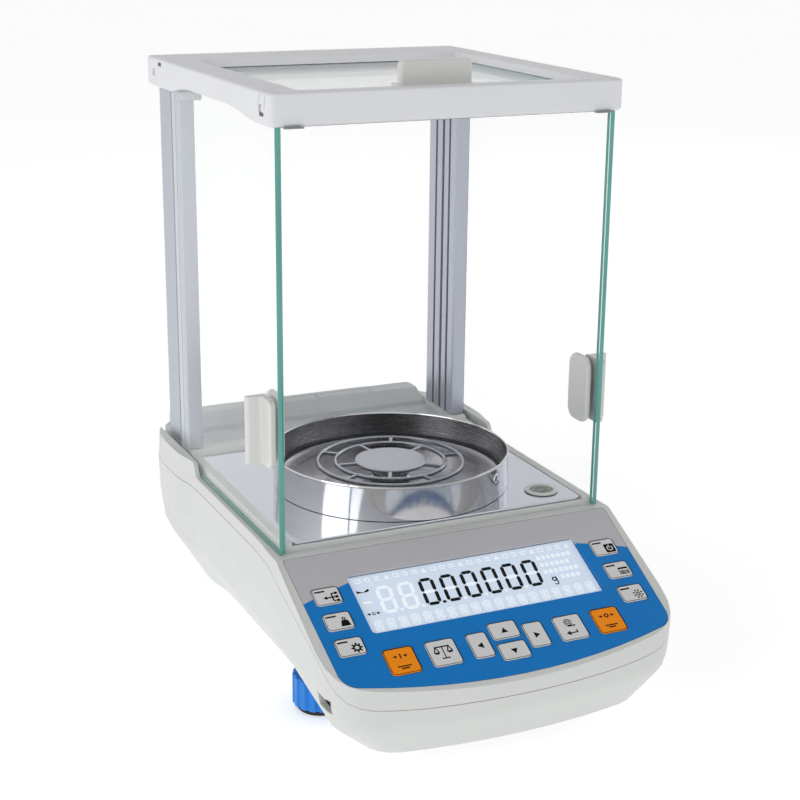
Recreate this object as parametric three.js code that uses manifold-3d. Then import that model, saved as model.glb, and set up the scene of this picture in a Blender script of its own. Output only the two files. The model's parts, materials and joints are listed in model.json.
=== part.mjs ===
// Analytical balance with a glass draft shield, built as separate pieces.
//
// Frame: millimetres, +Z up, +X to the right of the user, +Y away from the user.
// The origin lies on the table, below the centre of the weighing pan.

import * as THREE from 'three';
import { mergeVertices } from 'three/addons/utils/BufferGeometryUtils.js';
import Module from 'manifold-3d';

const wasm = await Module();
wasm.setup();

// ---------------------------------------------------------------- driving dimensions

// Overall
const BODY_DEPTH = 333;
const WAIST_HALF_WIDTH = 98;
const REAR_HALF_WIDTH = WAIST_HALF_WIDTH + 3.5;
const CONSOLE_HALF_WIDTH = WAIST_HALF_WIDTH + 1.5;
const FRONT_BOW_RADIUS = 350;
const REAR_CORNER = 58;
const REAR_SET_BACK = 3.4;
const DECK_Z = 90;
const SHIELD_HEIGHT = 235.6;
const GAP = 0.3;

// Housing shells
const WALL = 3;
const BOTTOM_Z = 12;
const SEAM_Z = DECK_Z - 6.8;
const SEAM_GAP = 0.4;
const REAR_RIM_RISE = 8;
const CONSOLE_SLOPE = THREE.MathUtils.degToRad(26.13);

// Weighing chamber
const CONSOLE_DEPTH = 95.6;
const CHAMBER_TO_REAR = 78.5;
const CHAMBER_FRONT_Y = CONSOLE_DEPTH - BODY_DEPTH / 2;
const CHAMBER_DEPTH = BODY_DEPTH - CONSOLE_DEPTH - CHAMBER_TO_REAR;
const GLASS = 2.5;
const PLINTH_RISE = 5;
const COLUMN_HALF_SPAN = WAIST_HALF_WIDTH - 6.1;
const COLUMN_WIDTH = 9;
const FLOOR_PLATE_HALF_WIDTH = COLUMN_HALF_SPAN - 5.4;
const FLOOR_PLATE_DEPTH = CHAMBER_DEPTH - 9.9;
const FLOOR_PLATE_THICKNESS = 1.2;
const COLUMN_DEPTH = 37;

// Top frame
const FRAME_HALF_WIDTH = COLUMN_HALF_SPAN + 6.1;
const FRAME_DEPTH = CHAMBER_DEPTH + COLUMN_DEPTH + 5.4;
const FRAME_HEIGHT = 16.4;
const FRAME_CORNER_RADIUS = 3;
const FRAME_OPENING_HALF_WIDTH = COLUMN_HALF_SPAN - 11.5;
const FRAME_FRONT_RAIL = 8;
const FRAME_OPENING_DEPTH = CHAMBER_DEPTH - 5.9;
const TOP_GLASS_DROP = 4.5;

// Pan and draft ring
const RING_RADIUS = 67;
const RING_HEIGHT = 19.5;
const RING_WALL = 1.2;
const PAN_RADIUS = 42.5;
const PAN_TOP_Z = DECK_Z + 17.1;
const PAN_DISC_RADIUS = 20.5;
const PAN_WIRE = 2;
const PAN_SPOKES = 5;
const PAN_TURN = 29;
const SUPPORT_RADIUS = 7;

// Console panel, keys and display
const PANEL_HALF_WIDTH = CONSOLE_HALF_WIDTH - 4;
const PANEL_THICKNESS = 1.5;
const PANEL_BOTTOM = 79.5;
const PANEL_TAPER = 2;
const KEY_GAP = 0.35;
const KEY_PROUD = 0.35;
const KEY_THICKNESS = 2.6;
const KEY_TRAVEL = 0.6;
const LCD_HALF_WIDTH = PANEL_HALF_WIDTH - 28.6;
const LCD_LENGTH = 39;

// Feet
const FOOT_FRONT_X = WAIST_HALF_WIDTH - 25.5;
const FOOT_REAR_X = WAIST_HALF_WIDTH - 49;
const FOOT_FRONT_Y = CHAMBER_FRONT_Y + 0.2;
const FOOT_REAR_Y = BODY_DEPTH / 2 - 49.5;
const FOOT_RADIUS = 15;
const FOOT_HEIGHT = 20;
const FOOT_PAD_HEIGHT = 3;
const FOOT_TRAVEL = 3;
const FOOT_RIBS = 16;
const FOOT_RIB_DEPTH = 1.2;
const STUD_RADIUS = 4;

// Handles
const HANDLE_HEIGHT = 36;
const HANDLE_BOTTOM_Z = DECK_Z + 46.5;
const INNER_HANDLE_WIDTH = 20;
const INNER_HANDLE_SHIFT = 1.7;

// ---------------------------------------------------------------- derived places

const FRONT_Y = -BODY_DEPTH / 2;
const REAR_Y = BODY_DEPTH / 2;
const SHIELD_TOP_Z = DECK_Z + SHIELD_HEIGHT;
const FRAME_BOTTOM_Z = SHIELD_TOP_Z - FRAME_HEIGHT;
const FLOOR_TOP_Z = DECK_Z + PLINTH_RISE - 0.4;
const PLINTH_TOP_Z = DECK_Z + PLINTH_RISE;
const GLASS_BOTTOM_Z = DECK_Z + 0.6;
const FRONT_GLASS_BACK_Y = CHAMBER_FRONT_Y + GLASS;
const FLOOR_FRONT_Y = FRONT_GLASS_BACK_Y + 1;
const FLOOR_REAR_Y = FLOOR_FRONT_Y + FLOOR_PLATE_DEPTH;
const COLUMN_FRONT_Y = CHAMBER_FRONT_Y + CHAMBER_DEPTH + GAP;
const DOOR_INNER_X = COLUMN_HALF_SPAN + GAP;
const DOOR_OUTER_X = DOOR_INNER_X + GLASS;
const CONSOLE_TOP_Y = CHAMBER_FRONT_Y - 5.8;
const LCD_TOP_DISTANCE = 16.9;
const LCD_TOP_Y = CONSOLE_TOP_Y - LCD_TOP_DISTANCE * Math.cos(CONSOLE_SLOPE);
const LCD_TOP_Z = DECK_Z - 0.2 - LCD_TOP_DISTANCE * Math.sin(CONSOLE_SLOPE);
const FOOT_WELL_RADIUS = FOOT_RADIUS + 2.5;
const FOOT_WELL_TOP_Z = FOOT_HEIGHT + FOOT_TRAVEL + 2;
const FEET = [
  { name: 'front_left', x: -FOOT_FRONT_X, y: FOOT_FRONT_Y },
  { name: 'front_right', x: FOOT_FRONT_X, y: FOOT_FRONT_Y },
  { name: 'rear_left', x: -FOOT_REAR_X, y: FOOT_REAR_Y },
  { name: 'rear_right', x: FOOT_REAR_X, y: FOOT_REAR_Y },
];

// ---------------------------------------------------------------- materials

const finish = (color, roughness, metalness, opacity = 1) => () => new THREE.MeshStandardMaterial({
  color,
  roughness,
  metalness,
  opacity,
  transparent: opacity < 1,
});
const whitePlastic = finish(0xdadcdc, 0.5, 0);
const greyPlastic = finish(0xbfc3c2, 0.5, 0);
const keyPlastic = finish(0xc9c9c9, 0.45, 0);
const orangePlastic = finish(0xf5890b, 0.45, 0);
const blueFilm = finish(0x1370b5, 0.4, 0);
const bluePlastic = finish(0x026cc0, 0.45, 0);
const blackRubber = finish(0x1c1c1e, 0.8, 0);
const clearGlass = finish(0xcfe6df, 0.05, 0, 0.3);
const displayGlass = finish(0xdde8f6, 0.2, 0);
const aluminium = finish(0xbec2cb, 0.4, 0.8);
const polishedSteel = finish(0xc5c9d2, 0.12, 1);
const brushedSteel = finish(0xa8a8ac, 0.35, 1);
const brass = finish(0xb59a55, 0.3, 1);
const darkMetal = finish(0x4a4d52, 0.5, 0.7);
const circuitBoard = finish(0x1f6b3a, 0.6, 0);

// ---------------------------------------------------------------- helpers

const balance = new THREE.Group();
const consoleGroup = new THREE.Group();
consoleGroup.position.set(0, LCD_TOP_Y, LCD_TOP_Z);
consoleGroup.rotation.x = CONSOLE_SLOPE;
balance.add(consoleGroup);

function piece(name, shape, material, parent = balance) {
  const geometry = shape.isBufferGeometry ? shape : geometryOf(shape);
  const mesh = new THREE.Mesh(geometry, material());
  mesh.name = name;
  parent.add(mesh);
  return mesh;
}

// A manifold solid from a closed three.js geometry.
function solid(geometry) {
  const plain = geometry.index ? geometry.toNonIndexed() : geometry.clone();
  for (const attribute of Object.keys(plain.attributes)) {
    if (attribute !== 'position') plain.deleteAttribute(attribute);
  }
  const merged = mergeVertices(plain, 1e-4);
  return new wasm.Manifold(new wasm.Mesh({
    numProp: 3,
    vertProperties: Float32Array.from(merged.attributes.position.array),
    triVerts: Uint32Array.from(merged.index.array),
  }));
}

function geometryOf(manifold) {
  const mesh = manifold.getMesh();
  const geometry = new THREE.BufferGeometry();
  geometry.setAttribute('position', new THREE.BufferAttribute(mesh.vertProperties, mesh.numProp));
  geometry.setIndex(new THREE.BufferAttribute(mesh.triVerts, 1));
  return geometry.toNonIndexed();
}

const union = (...solids) => solids.reduce((a, b) => a.add(b));
const cut = (base, ...tools) => tools.reduce((a, b) => a.subtract(b), base);

// A box from its low and high corners.
function box(low, high) {
  const size = high.map((value, i) => value - low[i]);
  const centre = high.map((value, i) => (value + low[i]) / 2);
  return solid(new THREE.BoxGeometry(...size).translate(...centre));
}

// An upright cylinder between two heights.
function cylinder(radius, x, y, lowZ, highZ, segments = 40, topRadius = radius) {
  const geometry = new THREE.CylinderGeometry(topRadius, radius, highZ - lowZ, segments);
  geometry.rotateX(Math.PI / 2).translate(x, y, (lowZ + highZ) / 2);
  return solid(geometry);
}

function roundedRect(width, height, radius, cx = 0, cy = 0) {
  const shape = new THREE.Shape();
  const left = cx - width / 2;
  const right = cx + width / 2;
  const low = cy - height / 2;
  const high = cy + height / 2;
  shape.moveTo(left + radius, low);
  shape.absarc(right - radius, low + radius, radius, -Math.PI / 2, 0);
  shape.absarc(right - radius, high - radius, radius, 0, Math.PI / 2);
  shape.absarc(left + radius, high - radius, radius, Math.PI / 2, Math.PI);
  shape.absarc(left + radius, low + radius, radius, Math.PI, Math.PI * 1.5);
  return shape;
}

// Extrudes a shape upwards between two heights, with an optional rounded edge.
function prism(shape, lowZ, highZ, { bevel = 0, curveSegments = 6, bevelSegments = 2 } = {}) {
  const geometry = new THREE.ExtrudeGeometry(shape, {
    depth: highZ - lowZ - 2 * bevel,
    bevelEnabled: bevel > 0,
    bevelThickness: bevel,
    bevelSize: bevel,
    bevelOffset: -bevel,
    bevelSegments,
    curveSegments,
  });
  return geometry.translate(0, 0, lowZ + bevel);
}

// Turns an upright prism so that the shape lies in the Y-Z plane and its depth along X.
const SIDEWAYS = new THREE.Matrix4().makeBasis(
  new THREE.Vector3(0, 1, 0),
  new THREE.Vector3(0, 0, 1),
  new THREE.Vector3(1, 0, 0),
);
const sideways = (geometry) => geometry.applyMatrix4(SIDEWAYS);

// Turns an upright prism so that the shape lies in the X-Z plane and its depth along -Y.
const FACING = new THREE.Matrix4().makeBasis(
  new THREE.Vector3(1, 0, 0),
  new THREE.Vector3(0, 0, 1),
  new THREE.Vector3(0, -1, 0),
);
const facing = (geometry) => geometry.applyMatrix4(FACING);

// A closed body through rings of equal count, lowest ring first, counter-clockwise from above.
function loft(rings) {
  const count = rings[0].length;
  const positions = [];
  const triangle = (a, b, c) => positions.push(a.x, a.y, a.z, b.x, b.y, b.z, c.x, c.y, c.z);
  for (let level = 0; level + 1 < rings.length; level += 1) {
    const low = rings[level];
    const high = rings[level + 1];
    for (let i = 0; i < count; i += 1) {
      const next = (i + 1) % count;
      triangle(low[i], low[next], high[next]);
      triangle(low[i], high[next], high[i]);
    }
  }
  const flat = (ring) => ring.map((p) => new THREE.Vector2(p.x, p.y));
  for (const [a, b, c] of THREE.ShapeUtils.triangulateShape(flat(rings[0]), [])) {
    triangle(rings[0][c], rings[0][b], rings[0][a]);
  }
  const top = rings[rings.length - 1];
  for (const [a, b, c] of THREE.ShapeUtils.triangulateShape(flat(top), [])) {
    triangle(top[a], top[b], top[c]);
  }
  const geometry = new THREE.BufferGeometry();
  geometry.setAttribute('position', new THREE.Float32BufferAttribute(positions, 3));
  return solid(geometry);
}

// Revolves a closed profile of [radius, height] points about a vertical axis.
function turned(profile, x, y, segments) {
  const points = [...profile, profile[0]].map(([r, z]) => new THREE.Vector2(r, z));
  const geometry = new THREE.LatheGeometry(points, segments);
  return solid(geometry.rotateX(Math.PI / 2).translate(x, y, 0));
}

// ---------------------------------------------------------------- housing outline

// The body from above: a bowed front, a console, a waist beside the chamber and a wide rear.
function planOutline(sideInset, endInset) {
  const front = FRONT_Y + endInset;
  const rear = REAR_Y - endInset;
  const bow = FRONT_BOW_RADIUS - endInset;
  const console_ = CONSOLE_HALF_WIDTH - sideInset;
  const waist = WAIST_HALF_WIDTH - sideInset;
  const wing = REAR_HALF_WIDTH - sideInset;
  const bowEnd = Math.asin(0.8 * console_ / bow);
  const bowX = bow * Math.sin(bowEnd);
  const bowY = front + bow * (1 - Math.cos(bowEnd));
  const shape = new THREE.Shape();
  shape.moveTo(-bowX, bowY);
  shape.absarc(0, front + bow, bow, -Math.PI / 2 - bowEnd, -Math.PI / 2 + bowEnd);
  const right = new THREE.Path();
  right.moveTo(bowX, bowY);
  right.bezierCurveTo(bowX + 12, bowY + 3.4, console_, bowY + 9, console_, bowY + 27);
  right.lineTo(console_, CONSOLE_TOP_Y + 2);
  const neckY = CHAMBER_FRONT_Y + 10;
  right.bezierCurveTo(console_, neckY, waist, neckY + 4, waist, neckY + 24);
  right.lineTo(waist, COLUMN_FRONT_Y - 34);
  right.bezierCurveTo(waist, COLUMN_FRONT_Y - 12, wing, COLUMN_FRONT_Y - 16, wing, COLUMN_FRONT_Y + 2);
  right.lineTo(wing, rear - REAR_CORNER);
  right.bezierCurveTo(
    wing, rear - 0.43 * REAR_CORNER, wing - 0.31 * REAR_CORNER, rear, wing - 0.8 * REAR_CORNER, rear,
  );
  const half = right.getPoints(5);
  for (const p of half.slice(1)) shape.lineTo(p.x, p.y);
  for (const p of [...half].reverse().slice(0, -1)) shape.lineTo(-p.x, p.y);
  const points = shape.getPoints(7);
  return points.filter((p, i) => i === 0 || p.distanceTo(points[i - 1]) > 1e-3);
}

const ring = (sideInset, endInset, height) => planOutline(sideInset, endInset)
  .map((p) => new THREE.Vector3(p.x, p.y, height(p.y)));

// Height of the side walls' lower edge: higher beside the chamber than at the front.
const lowerEdge = (y) => {
  const rise = THREE.MathUtils.smoothstep(y, FRONT_Y + 18, FRONT_Y + 70);
  return THREE.MathUtils.lerp(26, 40, rise);
};

// The body's outside, from the table side up, before the top is shaped.
function bodyBlock(inset) {
  return loft([
    ring(21 + inset * 0.5, 7.5 + inset, () => BOTTOM_Z + inset),
    ring(4.6 + inset, 2.5 + inset, (y) => lowerEdge(y) - 1 + inset * 0.6),
    ring(3 + inset, 0.8 + inset, (y) => lowerEdge(y) + 2.5 + inset * 0.5),
    ring(0.5 + inset, 0.3 + inset, (y) => (lowerEdge(y) + seamHeight(y)) / 2 + inset * 0.3),
    ring(inset, inset, (y) => Math.min(seamHeight(y), SEAM_Z) + inset * 0.1),
    ring(0.6 + inset, 0.6 + inset, () => DECK_Z),
    ring(1.6 + inset, 1.6 + inset, () => DECK_Z + 30),
  ]);
}

// The line between the upper and lower shells: level beside the chamber, falling along the console.
const seamCurve = new THREE.CatmullRomCurve3([
  [REAR_Y + 20, SEAM_Z],
  [COLUMN_FRONT_Y, SEAM_Z],
  [CHAMBER_FRONT_Y + 20, SEAM_Z + 0.2],
  [CHAMBER_FRONT_Y + 4, SEAM_Z - 0.6],
  [CONSOLE_TOP_Y - 2, SEAM_Z - 4.7],
  [CONSOLE_TOP_Y - 32, SEAM_Z - 15],
  [CONSOLE_TOP_Y - 55, SEAM_Z - 22.5],
  [CONSOLE_TOP_Y - 66, SEAM_Z - 30.5],
  [CONSOLE_TOP_Y - 75, SEAM_Z - 39],
  [CONSOLE_TOP_Y - 84, SEAM_Z - 44.3],
  [FRONT_Y - 20, SEAM_Z - 45],
].map(([y, z]) => new THREE.Vector3(y, z, 0)), false, 'centripetal');
const seamPoints = seamCurve.getPoints(44);

function seamHeight(y) {
  const index = seamPoints.findIndex((p) => p.x <= y);
  if (index <= 0) return SEAM_Z;
  const a = seamPoints[index - 1];
  const b = seamPoints[index];
  return THREE.MathUtils.mapLinear(y, a.x, b.x, a.y, b.y);
}

const SPAN_X = 2 * REAR_HALF_WIDTH + 40;
const acrossBody = (shape, curveSegments = 8) => solid(sideways(
  prism(shape, -SPAN_X / 2, SPAN_X / 2, { curveSegments }),
));

// Everything above or below the seam, as a cutting tool.
function seamTool(side, offset) {
  const far = side === 'above' ? SHIELD_TOP_Z : -50;
  const line = seamPoints.map((p) => new THREE.Vector2(p.x, p.y + offset));
  const first = line[0];
  const last = line[line.length - 1];
  const outline = [...line, new THREE.Vector2(last.x, far), new THREE.Vector2(first.x, far)];
  return acrossBody(new THREE.Shape(outline));
}

// The body's top seen from the side: rear rim, step down to the deck, sloping console, rounded nose.
function topProfile(drop, rimRise) {
  const rimZ = DECK_Z + rimRise - drop;
  const deckZ = DECK_Z - drop;
  const stepY = COLUMN_FRONT_Y - 24;
  const slopeRun = CONSOLE_TOP_Y - FRONT_Y - 2.6;
  const slope = Math.tan(CONSOLE_SLOPE);
  const noseY = CONSOLE_TOP_Y - slopeRun;
  const noseZ = deckZ - 0.2 - slopeRun * slope;
  const shape = new THREE.Shape();
  shape.moveTo(REAR_Y + 5, -20);
  shape.lineTo(REAR_Y + 5, rimZ);
  shape.lineTo(stepY, rimZ);
  shape.bezierCurveTo(stepY - 5, rimZ, stepY - 3, deckZ, stepY - 9, deckZ);
  shape.lineTo(CONSOLE_TOP_Y, deckZ);
  shape.lineTo(noseY, noseZ);
  shape.quadraticCurveTo(noseY - 4.5, noseZ - 2.2, noseY - 6, noseZ - 7);
  shape.lineTo(noseY - 8, -20);
  return acrossBody(shape);
}

const footWells = (radius, topZ, lowZ = -5, segments = 24) => FEET
  .map((foot) => cylinder(radius, foot.x, foot.y, lowZ, topZ, segments));

// ---------------------------------------------------------------- lower housing

const USB_Y = FRONT_Y + 29.5;
const USB_Z = 38.5;
const USB_HALF_WIDTH = 6.5;
const USB_HALF_HEIGHT = 3.6;
const REAR_PANEL_WIDTH = 120;
const REAR_PANEL_HEIGHT = 26;
const REAR_PANEL_Z = DECK_Z - 35;

function lowerHousing() {
  const outer = bodyBlock(0);
  const inner = bodyBlock(WALL);
  const bosses = footWells(FOOT_WELL_RADIUS + WALL, FOOT_WELL_TOP_Z + WALL, BOTTOM_Z + 1)
    .map((boss) => boss.intersect(outer));
  let shell = union(cut(outer, inner), ...bosses);
  shell = cut(shell, seamTool('above', -SEAM_GAP));
  shell = cut(shell, ...footWells(FOOT_WELL_RADIUS, FOOT_WELL_TOP_Z));
  shell = cut(shell, ...footWells(STUD_RADIUS + GAP, 60, -5, 16));
  const rearPort = box(
    [-REAR_PANEL_WIDTH / 2, REAR_Y - 20, REAR_PANEL_Z - REAR_PANEL_HEIGHT / 2],
    [REAR_PANEL_WIDTH / 2, REAR_Y + 10, REAR_PANEL_Z + REAR_PANEL_HEIGHT / 2],
  );
  const sidePort = box(
    [-CONSOLE_HALF_WIDTH - 10, USB_Y - USB_HALF_WIDTH, USB_Z - USB_HALF_HEIGHT],
    [-CONSOLE_HALF_WIDTH + 16, USB_Y + USB_HALF_WIDTH, USB_Z + USB_HALF_HEIGHT],
  );
  // The rear sides are set back below a proud upper band.
  const notches = [-1, 1].map((side) => {
    const shape = new THREE.Shape();
    shape.moveTo(REAR_Y + 10, 20);
    shape.lineTo(REAR_Y + 10, SEAM_Z - 24);
    shape.lineTo(REAR_Y - 30, SEAM_Z - 25);
    shape.bezierCurveTo(REAR_Y - 60, SEAM_Z - 28, REAR_Y - 90, SEAM_Z - 36, REAR_Y - 110, SEAM_Z - 50);
    shape.lineTo(REAR_Y - 110, 20);
    const x0 = REAR_HALF_WIDTH - REAR_SET_BACK;
    return solid(sideways(prism(shape, 0, 20))).translate([side > 0 ? x0 : -x0 - 20, 0, 0]);
  });
  return cut(shell, rearPort, sidePort, ...notches);
}

// ---------------------------------------------------------------- upper housing

const CHANNEL_INNER_X = DOOR_INNER_X - GAP;
const CHANNEL_OUTER_X = DOOR_OUTER_X + GAP;
const REAR_COVER = {
  halfWidth: REAR_HALF_WIDTH - 17.5,
  frontY: COLUMN_FRONT_Y + 8,
  rearY: REAR_Y - 9,
  lowZ: DECK_Z + 0.5,
};
const SUPPORT_HOLE_RADIUS = SUPPORT_RADIUS + 4;
const LEVEL = { x: FLOOR_PLATE_HALF_WIDTH - 16, y: CHAMBER_FRONT_Y + 20.4, radius: 9.6 };

// The plinth that carries the floor plate, the columns and the rear cover.
function plinth() {
  const frontY = FRONT_GLASS_BACK_Y + GAP;
  const shape = new THREE.Shape();
  shape.moveTo(frontY, DECK_Z - 1);
  shape.lineTo(frontY, PLINTH_TOP_Z - 1.4);
  shape.quadraticCurveTo(frontY, PLINTH_TOP_Z, frontY + 1.2, PLINTH_TOP_Z);
  shape.lineTo(FLOOR_REAR_Y + 1.5, PLINTH_TOP_Z);
  shape.lineTo(FLOOR_REAR_Y + 3.5, PLINTH_TOP_Z + 2);
  shape.lineTo(REAR_Y - 6, PLINTH_TOP_Z + 2);
  shape.lineTo(REAR_Y - 6, DECK_Z - 1);
  const edge = CHANNEL_INNER_X - 0.3;
  const low = sideways(prism(shape, -edge, edge));
  return solid(low).intersect(bodyBlock(2));
}

function panelShape(margin) {
  const half = PANEL_HALF_WIDTH + margin;
  const lowHalf = half - PANEL_TAPER;
  const top = 17 + margin;
  const bottomMid = -PANEL_BOTTOM - margin;
  const bow = FRONT_BOW_RADIUS;
  const cornerX = lowHalf - 9;
  const cornerY = bottomMid + bow - Math.sqrt(bow * bow - cornerX ** 2);
  const bowAngle = Math.asin(cornerX / bow);
  const shape = new THREE.Shape();
  shape.moveTo(-cornerX, cornerY);
  shape.absarc(0, bottomMid + bow, bow, -Math.PI / 2 - bowAngle, -Math.PI / 2 + bowAngle);
  shape.quadraticCurveTo(lowHalf - 1.5, cornerY + 1.5, lowHalf, cornerY + 9);
  shape.lineTo(half, top - 3);
  shape.quadraticCurveTo(half, top, half - 3, top);
  shape.lineTo(-half + 3, top);
  shape.quadraticCurveTo(-half, top, -half, top - 3);
  shape.lineTo(-lowHalf, cornerY + 9);
  shape.quadraticCurveTo(-lowHalf + 1.5, cornerY + 1.5, -cornerX, cornerY);
  return shape;
}

// Moves a solid made in the console's own frame to its place on the slope.
const onConsole = (manifold) => manifold
  .rotate([THREE.MathUtils.radToDeg(CONSOLE_SLOPE), 0, 0])
  .translate([0, LCD_TOP_Y, LCD_TOP_Z]);

function upperHousing() {
  const outer = bodyBlock(0).intersect(topProfile(0, REAR_RIM_RISE));
  const inner = bodyBlock(WALL).intersect(topProfile(WALL, 0));
  const chamberWell = box(
    [-CHANNEL_OUTER_X, COLUMN_FRONT_Y - 40, DECK_Z],
    [CHANNEL_OUTER_X, REAR_Y - 5.7, DECK_Z + 40],
  );
  let shell = union(cut(outer, chamberWell), plinth());
  shell = cut(shell, inner, seamTool('below', 0));
  const channels = [-1, 1].map((side) => box(
    [side > 0 ? CHANNEL_INNER_X : -CHANNEL_OUTER_X, CHAMBER_FRONT_Y - 1, DECK_Z + 0.2],
    [side > 0 ? CHANNEL_OUTER_X : -CHANNEL_INNER_X, REAR_Y + 10, DECK_Z + 40],
  ));
  const floorPocket = box(
    [-FLOOR_PLATE_HALF_WIDTH - GAP, FRONT_GLASS_BACK_Y - 1, FLOOR_TOP_Z - FLOOR_PLATE_THICKNESS - GAP],
    [FLOOR_PLATE_HALF_WIDTH + GAP, FLOOR_REAR_Y + GAP, DECK_Z + 40],
  );
  const coverPocket = prism(
    roundedRect(
      2 * (REAR_COVER.halfWidth + GAP), REAR_COVER.rearY - REAR_COVER.frontY + 2 * GAP, 6,
      0, (REAR_COVER.rearY + REAR_COVER.frontY) / 2,
    ),
    REAR_COVER.lowZ - GAP,
    DECK_Z + 40,
  );
  const supportHole = cylinder(SUPPORT_HOLE_RADIUS + 1, 0, 0, DECK_Z - 30, DECK_Z + 20, 40);
  const levelHole = cylinder(LEVEL.radius - 1.2, LEVEL.x, LEVEL.y, DECK_Z - 30, DECK_Z + 20, 32);
  const panelPocket = onConsole(solid(prism(panelShape(GAP), -PANEL_THICKNESS - GAP, 20)));
  const boardOpening = onConsole(union(
    box([-PANEL_HALF_WIDTH + 5, -53, -12], [PANEL_HALF_WIDTH - 5, 5, 2]),
    box([-LCD_HALF_WIDTH - 2, -72.5, -12], [LCD_HALF_WIDTH + 2, 0, 2]),
  ));
  return cut(
    shell, ...channels, floorPocket, solid(coverPocket), supportHole, levelHole, panelPocket, boardOpening,
  );
}

// ---------------------------------------------------------------- base pieces

piece('lower_housing', lowerHousing(), whitePlastic);
piece('upper_housing', upperHousing(), whitePlastic);

function rearCover() {
  const shape = new THREE.Shape();
  const { frontY, rearY, lowZ } = REAR_COVER;
  const ridgeZ = DECK_Z + 11;
  shape.moveTo(frontY, lowZ);
  shape.lineTo(rearY, lowZ);
  shape.lineTo(rearY, ridgeZ - 2);
  shape.quadraticCurveTo(rearY, ridgeZ, rearY - 3, ridgeZ);
  shape.lineTo(rearY - 15, ridgeZ);
  shape.lineTo(rearY - 27, DECK_Z + 5.2);
  shape.lineTo(rearY - 28, DECK_Z + 3);
  shape.lineTo(frontY, DECK_Z + 2.4);
  const ridge = solid(sideways(prism(shape, -REAR_COVER.halfWidth, REAR_COVER.halfWidth)));
  const plan = solid(prism(
    roundedRect(2 * REAR_COVER.halfWidth, rearY - frontY, 6, 0, (rearY + frontY) / 2),
    DECK_Z - 10,
    DECK_Z + 30,
  ));
  return ridge.intersect(plan);
}
piece('rear_cover', rearCover(), greyPlastic);

function floorPlate() {
  const shape = roundedRect(
    2 * FLOOR_PLATE_HALF_WIDTH, FLOOR_PLATE_DEPTH, 3, 0, (FLOOR_FRONT_Y + FLOOR_REAR_Y) / 2,
  );
  const plate = solid(prism(shape, FLOOR_TOP_Z - FLOOR_PLATE_THICKNESS, FLOOR_TOP_Z));
  const supportHole = cylinder(SUPPORT_HOLE_RADIUS, 0, 0, DECK_Z - 10, DECK_Z + 20, 40);
  const levelHole = cylinder(LEVEL.radius - 1.2, LEVEL.x, LEVEL.y, DECK_Z - 10, DECK_Z + 20, 32);
  return cut(plate, supportHole, levelHole);
}
piece('chamber_floor_plate', floorPlate(), polishedSteel);

// Bubble level: a flanged bezel let into the floor plate, with its vial inside.
const BEZEL_TOP_Z = FLOOR_TOP_Z + 1.1;
piece('level_bezel', turned([
  [LEVEL.radius - 3, FLOOR_TOP_Z - 5],
  [LEVEL.radius - 1.5, FLOOR_TOP_Z - 5],
  [LEVEL.radius - 1.5, FLOOR_TOP_Z + GAP],
  [LEVEL.radius, FLOOR_TOP_Z + GAP],
  [LEVEL.radius - 0.4, BEZEL_TOP_Z],
  [LEVEL.radius - 3, BEZEL_TOP_Z],
], LEVEL.x, LEVEL.y, 32), whitePlastic);
piece('level_vial', cylinder(
  LEVEL.radius - 3 - GAP, LEVEL.x, LEVEL.y, FLOOR_TOP_Z - 5, BEZEL_TOP_Z - 0.4, 40,
), clearGlass);

// ---------------------------------------------------------------- pan, support and draft ring

const RING_BASE_Z = FLOOR_TOP_Z + GAP;
const RING_TOP_Z = RING_BASE_Z + RING_HEIGHT;
piece('draft_ring', turned([
  [RING_RADIUS - RING_WALL, RING_BASE_Z],
  [RING_RADIUS, RING_BASE_Z],
  [RING_RADIUS, RING_TOP_Z - 0.5],
  [RING_RADIUS - RING_WALL / 2, RING_TOP_Z],
  [RING_RADIUS - RING_WALL, RING_TOP_Z - 0.5],
], 0, 0, 72), polishedSteel);

const DISH_RADIUS = RING_RADIUS - RING_WALL - 3;
piece('bottom_shield', turned([
  [SUPPORT_RADIUS + 3, FLOOR_TOP_Z + 2.6],
  [SUPPORT_RADIUS + 6, FLOOR_TOP_Z + GAP],
  [DISH_RADIUS - 5, FLOOR_TOP_Z + GAP],
  [DISH_RADIUS, FLOOR_TOP_Z + 4.3],
  [DISH_RADIUS, FLOOR_TOP_Z + 5.3],
  [DISH_RADIUS - 5.4, FLOOR_TOP_Z + 1.3],
  [SUPPORT_RADIUS + 6.4, FLOOR_TOP_Z + 1.3],
  [SUPPORT_RADIUS + 3, FLOOR_TOP_Z + 3.8],
], 0, 0, 48), brushedSteel);

// A flat ring with a slightly rounded top.
function panRing(radius, topZ) {
  const half = PAN_WIRE / 2;
  return turned([
    [radius - half, topZ - PAN_WIRE],
    [radius + half, topZ - PAN_WIRE],
    [radius + half, topZ - 0.5],
    [radius + half * 0.5, topZ],
    [radius - half * 0.5, topZ],
    [radius - half, topZ - 0.5],
  ], 0, 0, 48);
}

function panSpoke(angle, fromRadius, toRadius) {
  const half = PAN_WIRE * 0.45;
  const bar = box([fromRadius, -half, PAN_TOP_Z - PAN_WIRE], [toRadius, half, PAN_TOP_Z - 0.3]);
  return bar.rotate([0, 0, angle]);
}

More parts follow.
